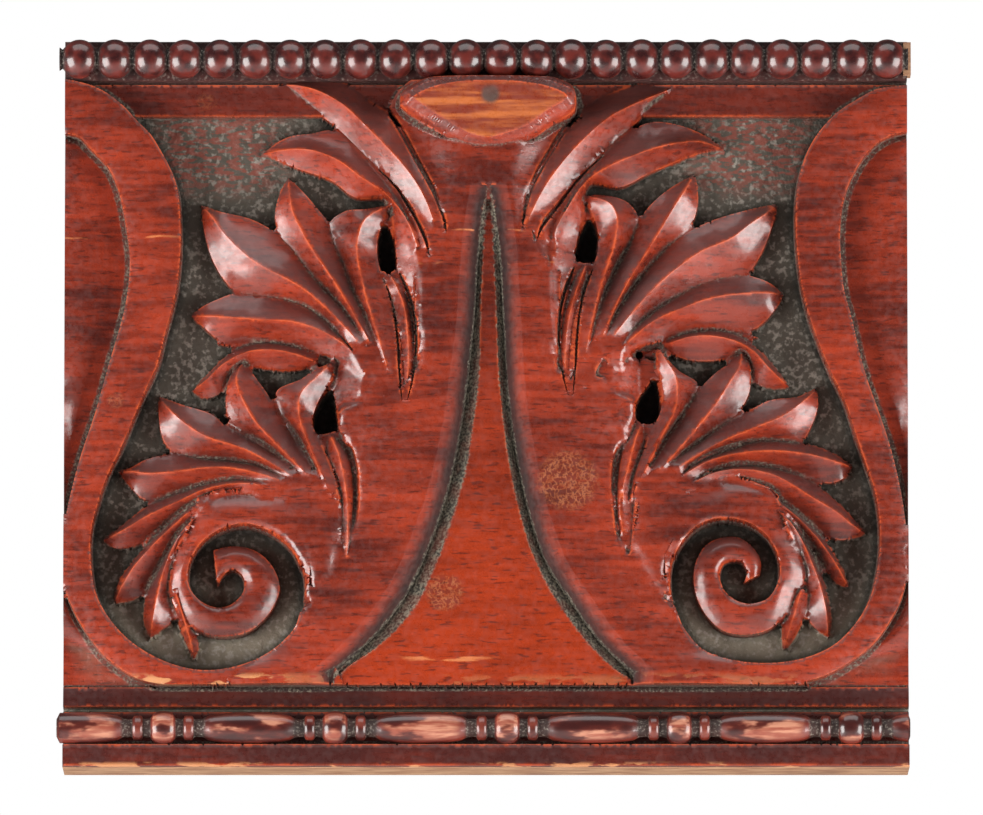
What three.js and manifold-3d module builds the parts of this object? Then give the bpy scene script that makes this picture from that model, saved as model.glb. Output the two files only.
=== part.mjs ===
// A length of carved mahogany frieze moulding, cut square at both ends.
// A flat-backed board carries deep carving: a stem, two clusters of leaves and a volute on each
// side of it, and a long S-shaped band that frames them. A rod of pearl beads is let into the
// top of the board and a rod of long beads and reels into a channel near its foot.
// Millimetres, +Z up, the face looks to -Y, and the origin is the middle of the flat back.

import * as THREE from "three";
import { mergeVertices } from "three/addons/utils/BufferGeometryUtils.js";
import Module from "manifold-3d";

const wasm = await Module();
wasm.setup();

// Board
const HALF_LENGTH = 114;
const HALF_HEIGHT = 99;
const GROUND = 11; // wood left behind the carving
const ROOTED = 8; // how near the back every carved form starts, so that it grows out of the board
const CARVING_TOP = 87.5;
const CARVING_FOOT = -76.6;
const STEM_AXIS = 0.4; // the centre line of the carving
const STEM_CREST = 22.4; // thickness at the rolled edge of the stem
const SPIRE = 18.5; // thickness at the flat field between the stem's two grooves
const WEB = 21.2; // thickness where the leaves spring from the stem
const FILLET_FOOT = 78.6;
const FILLET = 15;
const FASCIA = 20;
const GLUE_GAP = 0.3;

// Pearl rod along the top
const PEARL_SEAT = 14; // wood behind the rod
const PEARL_CENTRE = 22.4; // from the back
const PEARL_RADIUS = 5.5;
const PEARL_NECK = 3.6;
const PEARL_COUNT = 24;
const PEARL_PITCH = 9.505;
const FIRST_PEARL = -110;
const PEARL_ROD = [-115.5, 115.2];
const PEARL_STRIP_FRONT = 19;

// Bead-and-reel rod near the foot
const REEL_SEAT = 14.9; // wood behind the rod
const REEL_CENTRE = 19; // from the back
const REEL_HEIGHT = -88.4;
const LONG_BEAD = { radius: 4.2, length: 25 };
const ROUND_BEAD = { radius: 4.5, length: 6.9 };
const REEL = { radius: 3.4, length: 3.2 };
const REEL_NECK = 2.4;
const REEL_REPEAT = 46.3;
const FIRST_ROUND_BEAD = -86.9;
const REEL_ROD = [-115.6, 114.2];
const ROD_SIDES = 8;

// Solids

// A closed geometry as a solid that can be joined and cut.
function solid(geometry) {
  geometry.deleteAttribute("normal");
  geometry.deleteAttribute("uv");
  const merged = mergeVertices(geometry);
  const vertProperties = merged.getAttribute("position").array;
  const triVerts = new Uint32Array(merged.index.array);
  const made = new wasm.Manifold(new wasm.Mesh({ numProp: 3, vertProperties, triVerts }));
  if (made.volume() > 0) {
    return made;
  }
  const turned = triVerts.reverse();
  return new wasm.Manifold(new wasm.Mesh({ numProp: 3, vertProperties, triVerts: turned }));
}

function extruded(outline, length) {
  const shape = new THREE.Shape(outline.map(([u, v]) => new THREE.Vector2(u, v)));
  return new THREE.ExtrudeGeometry(shape, { depth: length, bevelEnabled: false });
}

// An outline of [x, z] corners standing between two distances from the back.
function block(outline, from, to) {
  return solid(extruded(outline, to - from).translate(0, 0, from).rotateX(Math.PI / 2));
}

// A section of [z, distance from the back] corners run along the length of the moulding.
function run(section, [from, to]) {
  const alongX = new THREE.Matrix4().makeBasis(
    new THREE.Vector3(0, 1, 0),
    new THREE.Vector3(0, 0, 1),
    new THREE.Vector3(1, 0, 0),
  );
  const turnedOutline = section.map(([z, thickness]) => [-thickness, z]);
  return solid(extruded(turnedOutline, to - from).translate(0, 0, from).applyMatrix4(alongX));
}

// A rod turned round an axis along the length, through [x, radius] stations.
function turnedRod(stations, fromBack, z) {
  const ends = [stations[0][0], stations.at(-1)[0]];
  const profile = [[ends[0], 0], ...stations, [ends[1], 0]];
  const points = profile.map(([x, radius]) => new THREE.Vector2(radius, x));
  const rod = new THREE.LatheGeometry(points, ROD_SIDES);
  return solid(rod.rotateZ(-Math.PI / 2).translate(0, -fromBack, z));
}

function joined(solids) {
  return solids.reduce((all, next) => all.add(next));
}

// Carved forms: each lies between lines drawn from its tip to its root.
// A point on a line is [x, z, distance from the back].

// A smooth line through a few points, cut into equal steps.
function line(points, steps) {
  const curve = new THREE.CatmullRomCurve3(points.map((point) => new THREE.Vector3(...point)));
  return curve.getSpacedPoints(steps).map((point) => point.toArray());
}

// A line part of the way from one line to another, raised above the straight way between them.
function between(one, other, share, raised) {
  const part = (from, to) => from + (to - from) * share;
  return one.map(([x, z, h], i) => {
    const [otherX, otherZ, otherH] = other[i];
    return [part(x, otherX), part(z, otherZ), part(h, otherH) + raised];
  });
}

// The carver's two sides aren't quite alike: the right is the left mirrored about the stem,
// with its tips and its roots each out by a little, [along, up].
function bothSides(right, make) {
  const mirrored = (points) =>
    points.map(([x, z, ...height], i) => {
      const share = i / (points.length - 1);
      const out = right.tip.map((tip, axis) => tip + (right.root[axis] - tip) * share);
      return [2 * STEM_AXIS - x + out[0], z + out[1], ...height];
    });
  return [make((points) => points), make(mirrored)];
}

// A solid whose face passes through the lines and whose sides drop into the board.
function form(lines) {
  const feet = lines.map((points) => points.map(([x, z]) => [x, z, ROOTED])).reverse();
  const around = [...lines, ...feet];
  const sides = around.length;
  const stations = lines[0].length;
  const position = [];
  for (let i = 0; i < stations; i++) {
    for (const [x, z, h] of around.map((points) => points[i])) {
      position.push(x, -h, z);
    }
  }
  const index = [];
  for (let i = 0; i + 1 < stations; i++) {
    for (let j = 0; j < sides; j++) {
      const a = i * sides + j;
      const b = i * sides + ((j + 1) % sides);
      index.push(a, b, b + sides, a, b + sides, a + sides);
    }
  }
  const far = (stations - 1) * sides;
  for (let j = 0; j + 1 < lines.length; j++) {
    const [a, b, c, d] = [j, j + 1, sides - 2 - j, sides - 1 - j];
    index.push(a, c, b, a, d, c);
    index.push(a + far, b + far, c + far, a + far, c + far, d + far);
  }
  const geometry = new THREE.BufferGeometry();
  geometry.setAttribute("position", new THREE.Float32BufferAttribute(position, 3));
  geometry.setIndex(index);
  return solid(geometry);
}

// A leaf on each side: its upper edge, its sharp crest and its lower edge.
function leaf({ over, crest, under, right, steps = 8 }) {
  return bothSides(right, (side) =>
    form([over, crest, under].map((points) => line(side(points), steps))),
  );
}

// Upper cluster, from the stem outwards
const longTopLeaf = leaf({
  over: [[-55.7, 88.4, 13], [-40, 88.4, 15], [-25.9, 79.2, 17], [-15.1, 61.2, 20.5], [-10.8, 48.6, 22.4]],
  crest: [[-55.7, 87.8, 14], [-40, 82.2, 20.5], [-23.2, 65.3, 22], [-13.5, 47.2, 22.8]],
  under: [[-55.7, 87.2, 13], [-41.1, 76.4, 15], [-24.6, 59.8, 18.5], [-15.7, 42.6, 22.4]],
  right: { tip: [-5, -0.5], root: [-3.8, 0] },
});
const secondTopLeaf = leaf({
  over: [[-60.5, 69.4, 12.5], [-47.3, 74.6, 15.5], [-33.2, 68.3, 17], [-19.7, 53, 20.5], [-13, 36, 22],
    [-16, 9.6, 22]],
  crest: [[-60.5, 69, 13], [-46.8, 68.9, 19.5], [-27.3, 57, 21], [-19.5, 45.4, 22], [-17.6, 30, 22.5],
    [-18.6, 9.6, 22.5]],
  under: [[-60.5, 68.5, 12.5], [-41.6, 61.1, 15], [-26.8, 55.5, 16], [-24, 40, 17], [-20.8, 27.9, 18.5],
    [-18.8, 9.1, 22]],
  right: { tip: [3, 1.1], root: [0.1, 0] },
  steps: 12,
});
const upperLobe = leaf({
  over: [[-26, 54, 17], [-29.2, 46.1, 17], [-28.6, 37.1, 17], [-23.5, 17.9, 19.5], [-22.4, 0.3, 22]],
  crest: [[-26.5, 53.7, 19], [-33, 49.5, 20], [-34.3, 38.2, 20.7], [-31.4, 25, 21.3], [-26.5, 8.5, 22]],
  under: [[-26.9, 54.4, 17], [-41, 51.4, 15.5], [-38.9, 38.9, 15.5], [-33.5, 25.4, 18.5], [-28.6, 9.9, 22]],
  right: { tip: [0.5, 2.7], root: [-0.8, 2.8] },
  steps: 10,
});
const uprightLeaf = leaf({
  over: [[-53.2, 62.2, 13], [-47.3, 55.8, 16], [-41.4, 45, 15], [-36.2, 31.1, 17], [-30.8, 17.5, 20.5]],
  crest: [[-53.5, 62, 14], [-52.2, 52, 19.5], [-42.7, 35.5, 20.5], [-31.4, 16.2, 21.7]],
  under: [[-54, 61.9, 13], [-56.8, 51, 15.5], [-50, 39.2, 15.2], [-40.8, 28.3, 17], [-32.4, 15.4, 21.5]],
  right: { tip: [1.6, 0.5], root: [-0.8, 1.4] },
});
const upperBroadLeaf = leaf({
  over: [[-76.8, 54.8, 13], [-62.4, 50.2, 15], [-50, 39.2, 15.2], [-40.8, 28.3, 17], [-34.6, 19.7, 20]],
  crest: [[-77, 54.4, 14], [-68.4, 43.5, 19.5], [-53, 33.3, 20.2], [-34.1, 15.7, 21.7]],
  under: [[-77.2, 54, 13], [-75, 42, 15], [-67, 30.6, 15], [-50.3, 27.5, 15.3], [-35.7, 14.3, 21.5]],
  right: { tip: [0.8, 0.3], root: [-0.6, 1.9] },
});
const upperLevelLeaf = leaf({
  over: [[-79.5, 24.9, 13], [-68, 30.4, 15], [-54.9, 28.9, 15], [-45.9, 24.9, 16], [-37.8, 17, 20]],
  crest: [[-79.5, 24.4, 14], [-69.5, 23.3, 19], [-50.3, 21.6, 20.3], [-32.4, 8, 22]],
  under: [[-79.3, 23.9, 13], [-73, 18.2, 14.7], [-58, 18.2, 14.5], [-44.9, 13.8, 15.5], [-33.5, 1.7, 22]],
  right: { tip: [0, 5.7], root: [2.5, 5.4] },
});
const crescentLeaf = leaf({
  over: [[-79.5, 4.4, 12.5], [-68.6, 14.6, 14], [-57, 17.4, 14], [-44.9, 13.5, 15.5]],
  crest: [[-79.3, 4, 13.5], [-71.4, 10.4, 18], [-59.5, 14.5, 18.5], [-45.9, 11.4, 17]],
  under: [[-79.2, 3.5, 12.5], [-72.5, 3.4, 13], [-65.7, 10.8, 13.5], [-54, 9.4, 14], [-45.9, 10.5, 14.5]],
  right: { tip: [1.6, 1.1], root: [2.2, 4.9] },
});

// Lower cluster, from the stem outwards and down round the volute
const lowerLobe = leaf({
  over: [[-42.3, 11.4, 16], [-49.5, 7, 17], [-56.8, 2.5, 15], [-51.6, -8, 15.5], [-44.1, -21.9, 21]],
  crest: [[-41.9, 10.7, 18.5], [-47.8, 5, 20], [-50.5, -2.7, 20.5], [-47.3, -12.6, 21], [-42.4, -24.7, 21.7]],
  under: [[-41.2, 10.4, 16], [-43.5, 4, 17], [-46.8, -3.9, 17], [-43, -14.7, 18.5], [-39.2, -28.3, 21.5]],
  right: { tip: [4.1, 4], root: [-0.8, 4.6] },
  steps: 10,
});
const pointedLeaf = leaf({
  over: [[-66.1, 12, 13], [-70.2, 2.5, 15], [-66.5, -6.6, 15], [-55.4, -14.3, 17.5], [-49.7, -19.7, 21]],
  crest: [[-65.7, 11.8, 14], [-66.5, 3.5, 19], [-58.4, -9.5, 20.3], [-48.1, -20, 21.3]],
  under: [[-65.1, 12, 13], [-57.8, 0.8, 15], [-50, -12.3, 17], [-44.9, -20.8, 21]],
  right: { tip: [2.7, 2.8], root: [-1.6, 1.6] },
});
const lowerBroadLeaf = leaf({
  over: [[-88, 2.5, 13], [-73.5, -3, 14.5], [-62.4, -10.5, 15.5], [-50.8, -19.4, 21]],
  crest: [[-88.1, 2, 14], [-82.7, -4.4, 19], [-71.4, -10.8, 20], [-51.9, -20.6, 21.2]],
  under: [[-88.5, 1.7, 13], [-87.6, -8.5, 15], [-78.6, -14.2, 14.5], [-62.4, -16.4, 16.5],
    [-54.1, -21.1, 21]],
  right: { tip: [0.3, 2.2], root: [-1.1, 2.5] },
});
const lowerLevelLeaf = leaf({
  over: [[-99.2, -17.7, 13], [-88.1, -13.9, 14.5], [-73.2, -14.8, 15], [-53.4, -20.7, 21]],
  crest: [[-99.2, -18.2, 14], [-90, -19, 19], [-72, -17.7, 20.2], [-54.6, -21.6, 21]],
  under: [[-98.9, -18.7, 13], [-91, -25.6, 14], [-75.9, -21.7, 15.5], [-57.8, -23, 21]],
  right: { tip: [-1.1, 1.4], root: [-2.2, 1.6] },
});
const firstFallingLeaf = leaf({
  over: [[-103.2, -36.3, 13], [-88.9, -25.9, 14], [-75.9, -21.7, 15.5], [-60.5, -21.8, 20]],
  crest: [[-103.2, -36.7, 13.5], [-92.2, -31.2, 19], [-77.3, -24.2, 20], [-60.5, -22.5, 21]],
  under: [[-103, -37.2, 13], [-95, -38.3, 13.5], [-81.1, -28.5, 15.5], [-70.3, -24.1, 21]],
  right: { tip: [-1.8, 1.8], root: [-4.8, 0.8] },
});
const secondFallingLeaf = leaf({
  over: [[-100.6, -53.3, 13], [-95.4, -42.8, 14], [-84.1, -30.8, 14.5], [-77.3, -26.3, 17]],
  crest: [[-100.3, -53.6, 13.5], [-92.7, -41.8, 19], [-82.2, -31.6, 19.8], [-74.6, -26.2, 20.5]],
  under: [[-99.7, -53.8, 13], [-92.6, -51, 13.5], [-83.8, -36.7, 15.5], [-75.1, -28.5, 21]],
  right: { tip: [-3.3, 4.3], root: [-2.7, 1.6] },
  steps: 7,
});
const thirdFallingLeaf = leaf({
  over: [[-90.9, -62.8, 13], [-91.6, -51.5, 13.5], [-83.8, -36.7, 15.5], [-78.1, -30.6, 19]],
  crest: [[-90.5, -63.2, 13.5], [-88.4, -51, 18.5], [-84.1, -38.6, 19.6], [-78.9, -31.9, 20.5]],
  under: [[-90.1, -63.1, 13], [-84.9, -56.5, 14.8], [-84.5, -44, 17.5], [-80.8, -35.8, 21]],
  right: { tip: [1.1, 0.3], root: [0.3, 1.6] },
  steps: 6,
});
const smallPointedLeaf = leaf({
  over: [[-79.3, -68.8, 13], [-82.2, -60.9, 14.5], [-84.6, -52.9, 16]],
  crest: [[-78.9, -69, 14], [-81.1, -59.6, 17.5], [-83.8, -51.2, 19.5]],
  under: [[-78.4, -68.8, 13], [-78.4, -62, 14.5], [-80.8, -56.8, 17]],
  right: { tip: [0.8, 2.7], root: [0.5, 1.1] },
  steps: 4,
});

// Thin ridges left standing below the two eyes
const upperRidge = leaf({
  over: [[-25.4, 36.6, 15], [-20.8, 28, 17.5], [-19.2, 18, 19], [-21.1, -1.3, 22]],
  crest: [[-26.2, 35.6, 18], [-22.2, 26.5, 20.5], [-20.8, 14, 21.1], [-21.6, -0.7, 21.8]],
  under: [[-27.2, 36, 15], [-25.4, 28, 17.5], [-23.2, 14, 19.5], [-21.9, -1.3, 22]],
  right: { tip: [0.3, 2.7], root: [-1, 6] },
  steps: 6,
});
const lowerRidge = leaf({
  over: [[-40.3, -7.2, 15], [-37, -14.6, 17.5], [-35.7, -27, 19], [-37.3, -46, 21.7]],
  crest: [[-42.2, -8.4, 18], [-39.2, -16.7, 20.5], [-37.6, -29.6, 21.3], [-37.8, -45.5, 21.7]],
  under: [[-44.6, -8, 15], [-40.8, -20.5, 18.5], [-39, -34, 20.2], [-38.4, -44.6, 21.6]],
  right: { tip: [-1.1, 2.7], root: [-1.8, 9] },
  steps: 6,
});

// Webs: the plain wood from which each cluster of leaves springs
const WEB_OUT = { tip: [-0.5, 1.9], root: [-0.5, 1.9] };
const upperWeb = bothSides(WEB_OUT, (side) =>
  block(
    side([[-16, 14], [-20, 4], [-22.5, 1], [-26, 8.5], [-30.5, 15.5], [-34, 15], [-33, 2], [-35.5, -5],
      [-34, -30], [-16, -30]]),
    ROOTED,
    WEB,
  ),
);
const lowerWeb = bothSides(WEB_OUT, (side) =>
  block(
    side([[-40, -27], [-44, -22.5], [-50, -20.3], [-54, -21.5], [-60, -23], [-62, -29], [-46, -36],
      [-40, -44], [-38.4, -40]]),
    ROOTED,
    WEB,
  ),
);

// Stem: flares at its head, rolls over into the groove beside the spire and spreads at its foot
const STEM_STEPS = 17;
const STEM_OUTER = [
  [-25.9, 87.8, 18], [-25.5, 80.5, 18], [-15.1, 61.2, 20.5], [-10.8, 48.6, 22.5], [-17, 30, 22.5],
  [-18.6, 9.6, 22.5], [-31, 3, 21.8], [-35, -6, 21], [-35, -28, 21], [-38, -46, 21.5], [-49.2, -56, 21],
  [-56.2, -66.3, 20.5], [-65, -78, 20],
];
const STEM_GROOVE = [
  [0.4, 87.8, 27], [0.4, 74, 25.2], [0.4, 60, 22.2], [-0.5, 44.5, 18], [-1.4, 28.1, 16], [-2.2, 3.6, 15.5],
  [-5.4, -18.3, 15.5], [-9.7, -33.3, 15.5], [-14.3, -45.6, 15.5], [-18.4, -54.3, 15.5],
  [-23.8, -61.1, 15.5], [-30, -66.9, 15.5], [-42.2, -78, 15.5],
];
const stem = bothSides({ tip: [0, 0], root: [0, 0] }, (side) => {
  const outer = line(side(STEM_OUTER), STEM_STEPS);
  const groove = line(side(STEM_GROOVE), STEM_STEPS);
  const rolled = groove.map(([x, z, h]) => [x, z, Math.max(h, STEM_CREST)]);
  return form([outer, between(outer, rolled, 0.45, 0.4), between(outer, rolled, 0.78, 0.2), groove]);
});

// Spire: the flat field that tapers upwards between the stem's two grooves
const spire = block(
  [[0.4, 59], [1.9, 44.5], [3.7, 3.6], [8.6, -26], [15.2, -45.6], [24, -60.5], [39, CARVING_FOOT],
    [-39, CARVING_FOOT], [-23.6, -61.1], [-14.3, -45.6], [-7.6, -26.5], [-2.2, 3.6], [-0.6, 44.5]],
  ROOTED,
  SPIRE,
);

// Volute: a band that springs from the stem, turns over and ends in a tongue curled inside it
const VOLUTE_STEPS = 27;
const VOLUTE_OUTER = [
  [-33, -42, 20.8], [-42, -31.5, 20.8], [-53, -26.7, 20], [-67.8, -25.9, 20], [-78.4, -30.9, 19],
  [-83.8, -41.4, 18], [-84.6, -53.6, 17], [-76.5, -62.2, 16.5], [-64.3, -62, 16.5], [-57, -54.6, 16.5],
  [-57.3, -44.8, 16.5], [-68.1, -38.7, 16], [-73.5, -39.7, 15.5],
];
const VOLUTE_INNER = [
  [-40, -58, 20.8], [-48.3, -52, 20.8], [-55.5, -37, 20], [-68, -33, 20], [-79.2, -40.7, 18.5],
  [-80.8, -48.8, 18], [-76.2, -54.4, 17], [-68.9, -54.7, 17], [-65, -49.2, 17], [-68.4, -45.1, 17],
  [-70.8, -46.4, 16.5], [-72.4, -49.1, 16],
];
const volute = bothSides({ tip: [0.5, -1], root: [-2.7, 1.8] }, (side) => {
  const outer = line(side(VOLUTE_OUTER), VOLUTE_STEPS);
  const inner = line(side(VOLUTE_INNER), VOLUTE_STEPS);
  return form([outer, between(outer, inner, 0.5, 0.9), inner]);
});

// Band: a flat ribbon with eased edges that frames the leaves and turns in under the volute
const BAND_STEPS = 28;
const BAND_OUT = { tip: [0, -1.3], root: [0, 1] };
const BAND_OUTER = [
  [-116, 73.8, 18.6], [-107.6, 70.1, 18.6], [-99.9, 59.5, 18.6], [-96.5, 43.6, 18.6], [-97, 29.4, 18.6],
  [-105.7, -3.3, 18.6], [-113.2, -29.3, 18.6], [-114.9, -42.9, 18.6], [-111.1, -56.6, 18.6],
  [-103.2, -68.3, 18.6], [-93.5, -75.1, 18.6], [-80, -77, 18.6], [-55, -77, 18.6],
];
const BAND_INNER = [
  [-117, 89.3, 19], [-104.3, 85.5, 19], [-90.8, 73.2, 19], [-83.8, 59.3, 19], [-82.7, 43.5, 19],
  [-88.9, 10.2, 19], [-99.5, -14.4, 19], [-106.5, -35, 19], [-106, -47, 19], [-99.5, -61, 19],
  [-84.1, -71.5, 19], [-67.8, -71.7, 19], [-51.4, -61.1, 19],
];
const band = bothSides(BAND_OUT, (side) => {
  const outer = line(side(BAND_OUTER), BAND_STEPS);
  const inner = line(side(BAND_INNER), BAND_STEPS);
  return form([outer, between(outer, inner, 0.12, 1.4), between(outer, inner, 0.88, 1), inner]);
});

// Outer field: a hollow beside the band that rises to the end of the board
const FIELD_STEPS = 16;
const FIELD_HOLLOW = BAND_OUTER.map(([x, z]) => [x + 2, z, 13.2]);
const FIELD_END = [
  [-116, 78, 17], [-116, 52, 17], [-116, 20, 17], [-116, -24, 17], [-116, -46, 15], [-116, -72, 13],
  [-112, -80, 13], [-60, -80, 13],
];
const field = bothSides(BAND_OUT, (side) =>
  form([line(side(FIELD_HOLLOW), FIELD_STEPS), line(side(FIELD_END), FIELD_STEPS)]),
);

// Top fillets, each from its band to the tip of the long top leaf
const fillets = [[-98, -53], [46, 97]].map(([from, to]) =>
  block([[from, FILLET_FOOT], [to, FILLET_FOOT], [to, CARVING_TOP], [from, CARVING_TOP]], ROOTED, FILLET),
);

// What is cut away: the drilled eyes, the worn slope at the head of the stem and all past the edges
const TALLEST = 40;
const upperEye = bothSides({ tip: [-0.4, 1.3], root: [-0.4, 1.3] }, (side) =>
  block(
    side([[-27.6, 49.8], [-29.5, 43.2], [-28.6, 37], [-26.2, 35.4], [-24.5, 36.7], [-24.6, 44]]),
    GROUND,
    TALLEST,
  ),
);
const lowerEye = bothSides({ tip: [-0.3, 3], root: [-0.3, 3] }, (side) =>
  block(
    side([[-41.6, 4.7], [-45.7, -0.5], [-46.8, -6], [-44, -8.6], [-40.3, -7.4], [-40.6, 1]]),
    GROUND,
    TALLEST,
  ),
);
const wornHead = run([[89.5, 16.5], [73.4, 25.2], [73.4, TALLEST], [89.5, TALLEST]], [-25, 26]);
const edges = run(
  [[CARVING_FOOT, 0], [CARVING_FOOT, TALLEST], [CARVING_TOP, TALLEST], [CARVING_TOP, 0]],
  [-HALF_LENGTH, HALF_LENGTH],
);

// Carved panel
const CHANNEL = [-92.9, -83.6]; // seat of the bead-and-reel rod
const board = run(
  [[-HALF_HEIGHT, 0], [-HALF_HEIGHT, FASCIA - 0.6], [-HALF_HEIGHT + 0.6, FASCIA],
    [CHANNEL[0] - 0.7, FASCIA], [CHANNEL[0], FASCIA - 0.7], [CHANNEL[0], REEL_SEAT],
    [CHANNEL[1], REEL_SEAT], [CHANNEL[1], 11.5], [-82.4, 11.5], [-82, 15.2], [-79.4, 13.8],
    [CARVING_FOOT, 13.4], [CARVING_FOOT, GROUND], [CARVING_TOP, GROUND], [CARVING_TOP, PEARL_SEAT],
    [HALF_HEIGHT, PEARL_SEAT], [HALF_HEIGHT, 0]],
  [-HALF_LENGTH, HALF_LENGTH],
);
const carving = joined([
  ...longTopLeaf,
  ...secondTopLeaf,
  ...upperLobe,
  ...uprightLeaf,
  ...upperBroadLeaf,
  ...upperLevelLeaf,
  ...crescentLeaf,
  ...lowerLobe,
  ...pointedLeaf,
  ...lowerBroadLeaf,
  ...lowerLevelLeaf,
  ...firstFallingLeaf,
  ...secondFallingLeaf,
  ...thirdFallingLeaf,
  ...smallPointedLeaf,
  ...upperRidge,
  ...lowerRidge,
  ...upperWeb,
  ...lowerWeb,
  ...stem,
  spire,
  ...volute,
  ...band,
  ...field,
  ...fillets,
]);
const cutAway = joined([...upperEye, ...lowerEye, wornHead]);
const carvedPanel = board.add(carving.subtract(cutAway).intersect(edges));

// Pearl rod: round beads close together on a flat-backed strip
const pearlAxis = (CARVING_TOP + GLUE_GAP + HALF_HEIGHT) / 2;
const PEARL_PROFILE = [[-0.47, 0.66], [-0.22, 0.98], [0.22, 0.98], [0.47, 0.66]];
const pearlStations = [[PEARL_ROD[0], PEARL_NECK]];
for (let i = 0; i < PEARL_COUNT; i++) {
  const middle = FIRST_PEARL + i * PEARL_PITCH;
  for (const [along, share] of PEARL_PROFILE) {
    pearlStations.push([middle + along * PEARL_PITCH, share * PEARL_RADIUS]);
  }
}
pearlStations.push([PEARL_ROD[1], PEARL_NECK]);
const stripHalfHeight = pearlAxis - CARVING_TOP - 2 * GLUE_GAP;
const pearlStrip = run(
  [[pearlAxis - stripHalfHeight, PEARL_SEAT + GLUE_GAP], [pearlAxis - stripHalfHeight, PEARL_STRIP_FRONT],
    [pearlAxis + stripHalfHeight, PEARL_STRIP_FRONT], [pearlAxis + stripHalfHeight, PEARL_SEAT + GLUE_GAP]],
  PEARL_ROD,
);
const pearlRod = turnedRod(pearlStations, PEARL_CENTRE, pearlAxis).add(pearlStrip);

// Bead-and-reel rod: a long bead, a reel, a round bead and a reel, over and over, flat at the back
const LONG_PROFILE = [[-0.5, 0.6], [-0.28, 0.88], [0, 1], [0.28, 0.88], [0.5, 0.6]];
const ROUND_PROFILE = [[-0.5, 0.62], [-0.24, 0.98], [0.24, 0.98], [0.5, 0.62]];
const REEL_PROFILE = [[-0.5, 0.8], [0, 1], [0.5, 0.8]];
const NECK_STEP = 0.4; // from the end of a bead to the bottom of the neck beside it
const reelOffset = (ROUND_BEAD.length + REEL.length) / 2 + 2 * NECK_STEP + 1;
const REPEAT = [
  [-REEL_REPEAT / 2, LONG_BEAD, LONG_PROFILE],
  [-reelOffset, REEL, REEL_PROFILE],
  [0, ROUND_BEAD, ROUND_PROFILE],
  [reelOffset, REEL, REEL_PROFILE],
];
const reelStations = [];
for (let k = 0; k * REEL_REPEAT < REEL_ROD[1] - REEL_ROD[0] + REEL_REPEAT; k++) {
  for (const [offset, { radius, length }, profile] of REPEAT) {
    const middle = FIRST_ROUND_BEAD + k * REEL_REPEAT + offset;
    for (const [along, share] of profile) {
      reelStations.push([middle + along * length, share * radius]);
    }
    reelStations.push([middle + length / 2 + NECK_STEP, REEL_NECK]);
  }
}
const reelBack = REEL_SEAT + GLUE_GAP;
const reelKept = run(
  [[REEL_HEIGHT - 8, reelBack], [REEL_HEIGHT - 8, TALLEST], [REEL_HEIGHT + 8, TALLEST],
    [REEL_HEIGHT + 8, reelBack]],
  REEL_ROD,
);
const reelRod = turnedRod(reelStations, REEL_CENTRE, REEL_HEIGHT).intersect(reelKept);

// A solid as a named piece of the scene.
function piece(name, shape, material) {
  const { vertProperties, triVerts } = shape.getMesh();
  const indexed = new THREE.BufferGeometry();
  indexed.setAttribute("position", new THREE.BufferAttribute(vertProperties, 3));
  indexed.setIndex(new THREE.BufferAttribute(triVerts, 1));
  const geometry = indexed.toNonIndexed();
  geometry.computeVertexNormals();
  const mesh = new THREE.Mesh(geometry, material);
  mesh.name = name;
  return mesh;
}

const shellackedMahogany = new THREE.MeshStandardMaterial({
  color: 0x8c2f1d,
  roughness: 0.38,
  metalness: 0,
});
const darkShellac = new THREE.MeshStandardMaterial({
  color: 0x5a1c16,
  roughness: 0.32,
  metalness: 0,
});
const rubbedShellac = new THREE.MeshStandardMaterial({
  color: 0x6e2219,
  roughness: 0.35,
  metalness: 0,
});

const moulding = new THREE.Group();
moulding.add(
  piece("carved_panel", carvedPanel, shellackedMahogany),
  piece("bead_strip", pearlRod, darkShellac),
  piece("bead_and_reel", reelRod, rubbedShellac),
);

export default moulding;
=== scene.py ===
import math

import bpy
import numpy as np
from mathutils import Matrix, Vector
from mathutils.geometry import delaunay_2d_cdt


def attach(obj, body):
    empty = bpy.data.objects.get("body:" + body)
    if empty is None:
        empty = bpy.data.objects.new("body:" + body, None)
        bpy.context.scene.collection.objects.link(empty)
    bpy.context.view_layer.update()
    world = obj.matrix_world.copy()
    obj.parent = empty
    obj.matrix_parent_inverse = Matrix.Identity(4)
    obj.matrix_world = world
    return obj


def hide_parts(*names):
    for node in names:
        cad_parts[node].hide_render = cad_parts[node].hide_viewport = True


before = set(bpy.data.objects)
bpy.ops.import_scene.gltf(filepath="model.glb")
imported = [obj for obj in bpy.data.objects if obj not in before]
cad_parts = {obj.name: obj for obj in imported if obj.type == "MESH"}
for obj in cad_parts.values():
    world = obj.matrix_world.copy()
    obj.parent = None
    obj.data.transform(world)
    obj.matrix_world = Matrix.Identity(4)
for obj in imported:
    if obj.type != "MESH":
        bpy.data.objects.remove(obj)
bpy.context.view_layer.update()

# Camera
# The block is seen square on from the front, from a little below, through a long lens, so that
# its sides stay parallel.
MM = 0.001
CAMERA_DISTANCE = 4.0
CAMERA_BELOW = math.radians(7.87)
VIEW_WIDTH = 265.7 * MM
LOOKS_AT = Vector((1.49, -15.0, -0.74)) * MM
SENSOR_WIDTH = 36
SEES_AS_FAR_AS = 50

camera = bpy.data.objects.new("camera", bpy.data.cameras.new("camera"))
bpy.context.scene.collection.objects.link(camera)
backward = Vector((0, -math.cos(CAMERA_BELOW), -math.sin(CAMERA_BELOW)))
camera.location = LOOKS_AT + backward * CAMERA_DISTANCE
camera.rotation_mode = "QUATERNION"
camera.rotation_quaternion = backward.to_track_quat("Z", "Y")
camera.data.sensor_width = SENSOR_WIDTH
camera.data.lens = SENSOR_WIDTH * CAMERA_DISTANCE / VIEW_WIDTH
camera.data.clip_end = SEES_AS_FAR_AS
bpy.context.scene.camera = camera
bpy.context.scene.view_settings.view_transform = "Standard"


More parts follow.
